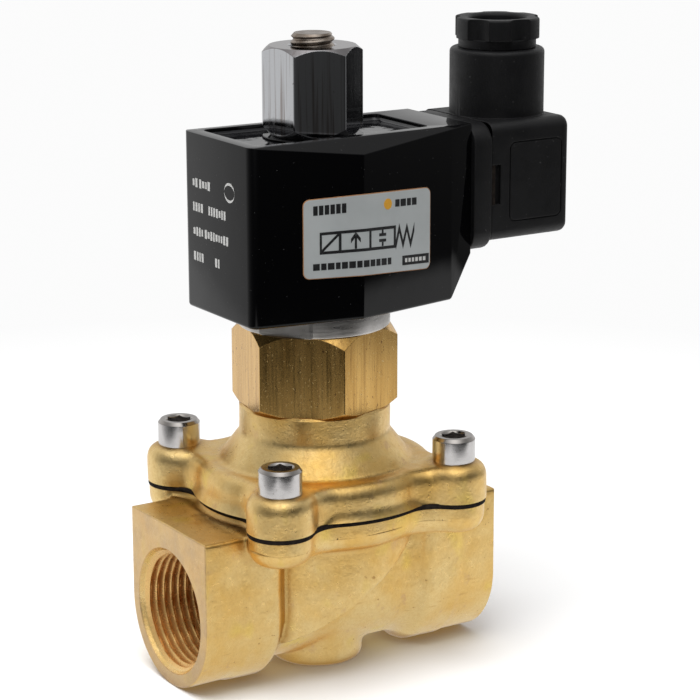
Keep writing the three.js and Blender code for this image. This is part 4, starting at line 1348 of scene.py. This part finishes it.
CAD_FINISH = (
    (RUBBER, "tube_o_ring pilot_seal main_seal gland_seal"),
    (STAINLESS, "guide_tube lift_cage disc_upper"),
    (STEEL, "armature yoke_frame"), (COPPER, "shading_ring winding"),
    (NYLON, "bobbin gland_ring"), (PLASTIC, "contact_block"),
    (HEX_BRASS, "disc_lower blade_line blade_neutral blade_earth"),
    (HEX_BRASS, "contact_line contact_neutral contact_earth"),
)


def finish_cad_nodes():
    for finish, nodes in CAD_FINISH:
        for node in nodes.split():
            made = frame["nodes"][node].data.materials
            made.clear()
            made.append(finish)


make_body()
make_diaphragm()
make_bonnet()
for screw in SCREWS:
    make_screw(screw)
make_union()
make_collar()
make_core()
make_washer()
make_coil_nut()
make_springs()
make_coil_housing()
make_potting()
make_label()
make_side_print()
make_terminal_base()
make_gasket()
make_plug()
make_connector_screw()
make_gland_nut()
finish_cad_nodes()


# ---------------------------------------------------------------- floor, light, camera
AZIMUTH, ELEVATION, ROLL = math.radians(-32.39), math.radians(14.44), math.radians(0.128)
TARGET = Vector((9.21, 0, 51.52)) * MM + Vector((0, 0, FLOW_Z))
DISTANCE = 542.55 * MM
BACK = Vector((math.sin(AZIMUTH) * math.cos(ELEVATION), -math.cos(AZIMUTH) * math.cos(ELEVATION),
               math.sin(ELEVATION)))


def make_camera():
    data = bpy.data.cameras.new("camera")
    data.lens, data.sensor_width = 127.1, 36
    data.clip_start, data.clip_end = 0.01, 20
    obj = bpy.data.objects.new("camera", data)
    scene.collection.objects.link(obj)
    turn = (-BACK).to_track_quat("-Z", "Y").to_matrix().to_4x4()
    obj.matrix_world = (Matrix.Translation(TARGET + BACK * DISTANCE) @ turn
                        @ Matrix.Rotation(-ROLL, 4, "Z"))
    scene.camera = obj


TABLE = ((-0.17, 0.285), (-0.185, 0.60))    # the lit table top; reflections past it see the studio
TABLE_EDGE = 0.03
SWEEP = (0.09, 0.32)         # the floor fades into the white background over these distances
GLOWS = (
    # azimuth from +X, elevation, sharpness, strength
    (118, 0, 3.0, 0.74),
    (60, 10, 3.0, 0.20),
    (75, 45, 4.0, 0.30),
    (0, 90, 9.0, 0.9),
    (-118, 27, 14.0, 0.32),
    (27, 8, 12.0, 0.60),
    (-15, 22, 8.0, 0.42),
    (-118, 62, 8.0, 1.28),
)
BASE_GLOW = 0.010
WHITE = 0.97               # strength of the background and of the far floor


def toward(azimuth, elevation):
    """Unit vector to a direction given in degrees, the azimuth from +X."""
    a, e = math.radians(azimuth), math.radians(elevation)
    return math.cos(a) * math.cos(e), math.sin(a) * math.cos(e), math.sin(e)


def studio_light(direction):
    """Brightness of the studio in a direction: a few broad soft glows over a dark room."""
    total = None
    for azimuth, elevation, sharpness, strength in GLOWS:
        along = add("VectorMath", {0: direction, 1: toward(azimuth, elevation)},
                    operation="DOT_PRODUCT").outputs["Value"]
        falling = times(maths("SUBTRACT", along, 1.0), sharpness)
        glow = times(maths("EXPONENT", falling), strength)
        total = glow if total is None else maths("ADD", total, glow)
    return maths("ADD", total, BASE_GLOW)


def make_world():
    """White to the camera; soft glows with a dark side behind the camera to everything else."""
    world = bpy.data.worlds.new("studio")
    scene.world = world
    shader = edit(world)["Background"]
    shader.inputs["Color"].default_value = (1, 1, 1, 1)
    direction = add("TexCoord").outputs["Generated"]
    camera_ray = add("LightPath").outputs["Is Camera Ray"]
    shade = {0: camera_ray, 2: studio_light(direction), 3: WHITE}
    connect(add("Mix", shade, data_type="FLOAT").outputs[0], shader.inputs["Strength"])


def make_floor():
    """Pale floor; in reflections only the lit table top round the object is seen."""
    finish = bpy.data.materials.new("floor")
    nodes = edit(finish)
    shader = nodes["Principled BSDF"]
    shader.inputs["Base Color"].default_value = (0.88, 0.88, 0.88, 1)
    shader.inputs["Roughness"].default_value = 0.9
    shader.inputs["Specular IOR Level"].default_value = 0.05
    where = parts_of(point())
    lit = 1.0
    for axis, (near, far) in enumerate(TABLE):
        for edge, inner in ((near, near + TABLE_EDGE), (far, far - TABLE_EDGE)):
            lit = times(ramp(where[axis], edge, inner), lit)
    away = add("VectorMath", {0: point()}, operation="LENGTH").outputs["Value"]
    # Painted shadow: the table top glows for reflections, and its glow is dimmed close to the
    # object, standing in for the shadow the object would cast on it.
    strength = times(ramp(away, 0.02, 0.09, 0.72, 1), 0.95)
    glow = add("Emission", {"Color": (1, 1, 1, 1), "Strength": strength}).outputs[0]
    clear = add("BsdfTransparent").outputs[0]
    table = add("MixShader", {0: lit, 1: clear, 2: glow}).outputs[0]
    white = add("Emission", {"Color": (1, 1, 1, 1), "Strength": WHITE}).outputs[0]
    sweep = add("MixShader", {0: ramp(away, *SWEEP), 1: shader.outputs[0],
                                              2: white}).outputs[0]
    camera_ray = add("LightPath").outputs["Is Camera Ray"]
    seen = add("MixShader", {0: camera_ray, 1: table, 2: sweep})
    connect(seen.outputs[0], nodes["Material Output"].inputs["Surface"])
    data = bpy.data.meshes.new("floor")
    size = 6.0
    data.from_pydata([(-size, -size, 0), (size, -size, 0), (size, size, 0), (-size, size, 0)], [],
                     [(0, 1, 2, 3)])
    data.materials.append(finish)
    obj = bpy.data.objects.new("floor", data)
    scene.collection.objects.link(obj)


def soft_light(name, azimuth, elevation, distance, size, power):
    """A large overhead light for matt surfaces, which leaves no spot on the metal."""
    data = bpy.data.lights.new(name, "AREA")
    data.shape = "DISK"
    data.size = size
    data.energy = power
    obj = bpy.data.objects.new(name, data)
    scene.collection.objects.link(obj)
    away = Vector(toward(azimuth, elevation))
    obj.matrix_world = (Matrix.Translation(TARGET + away * distance)
                        @ away.to_track_quat("Z", "Y").to_matrix().to_4x4())
    obj.visible_glossy = False


make_camera()
make_floor()
make_world()
soft_light("overhead", -150, 70, 1.5, 1.2, 22)
scene.view_settings.view_transform = "Standard"
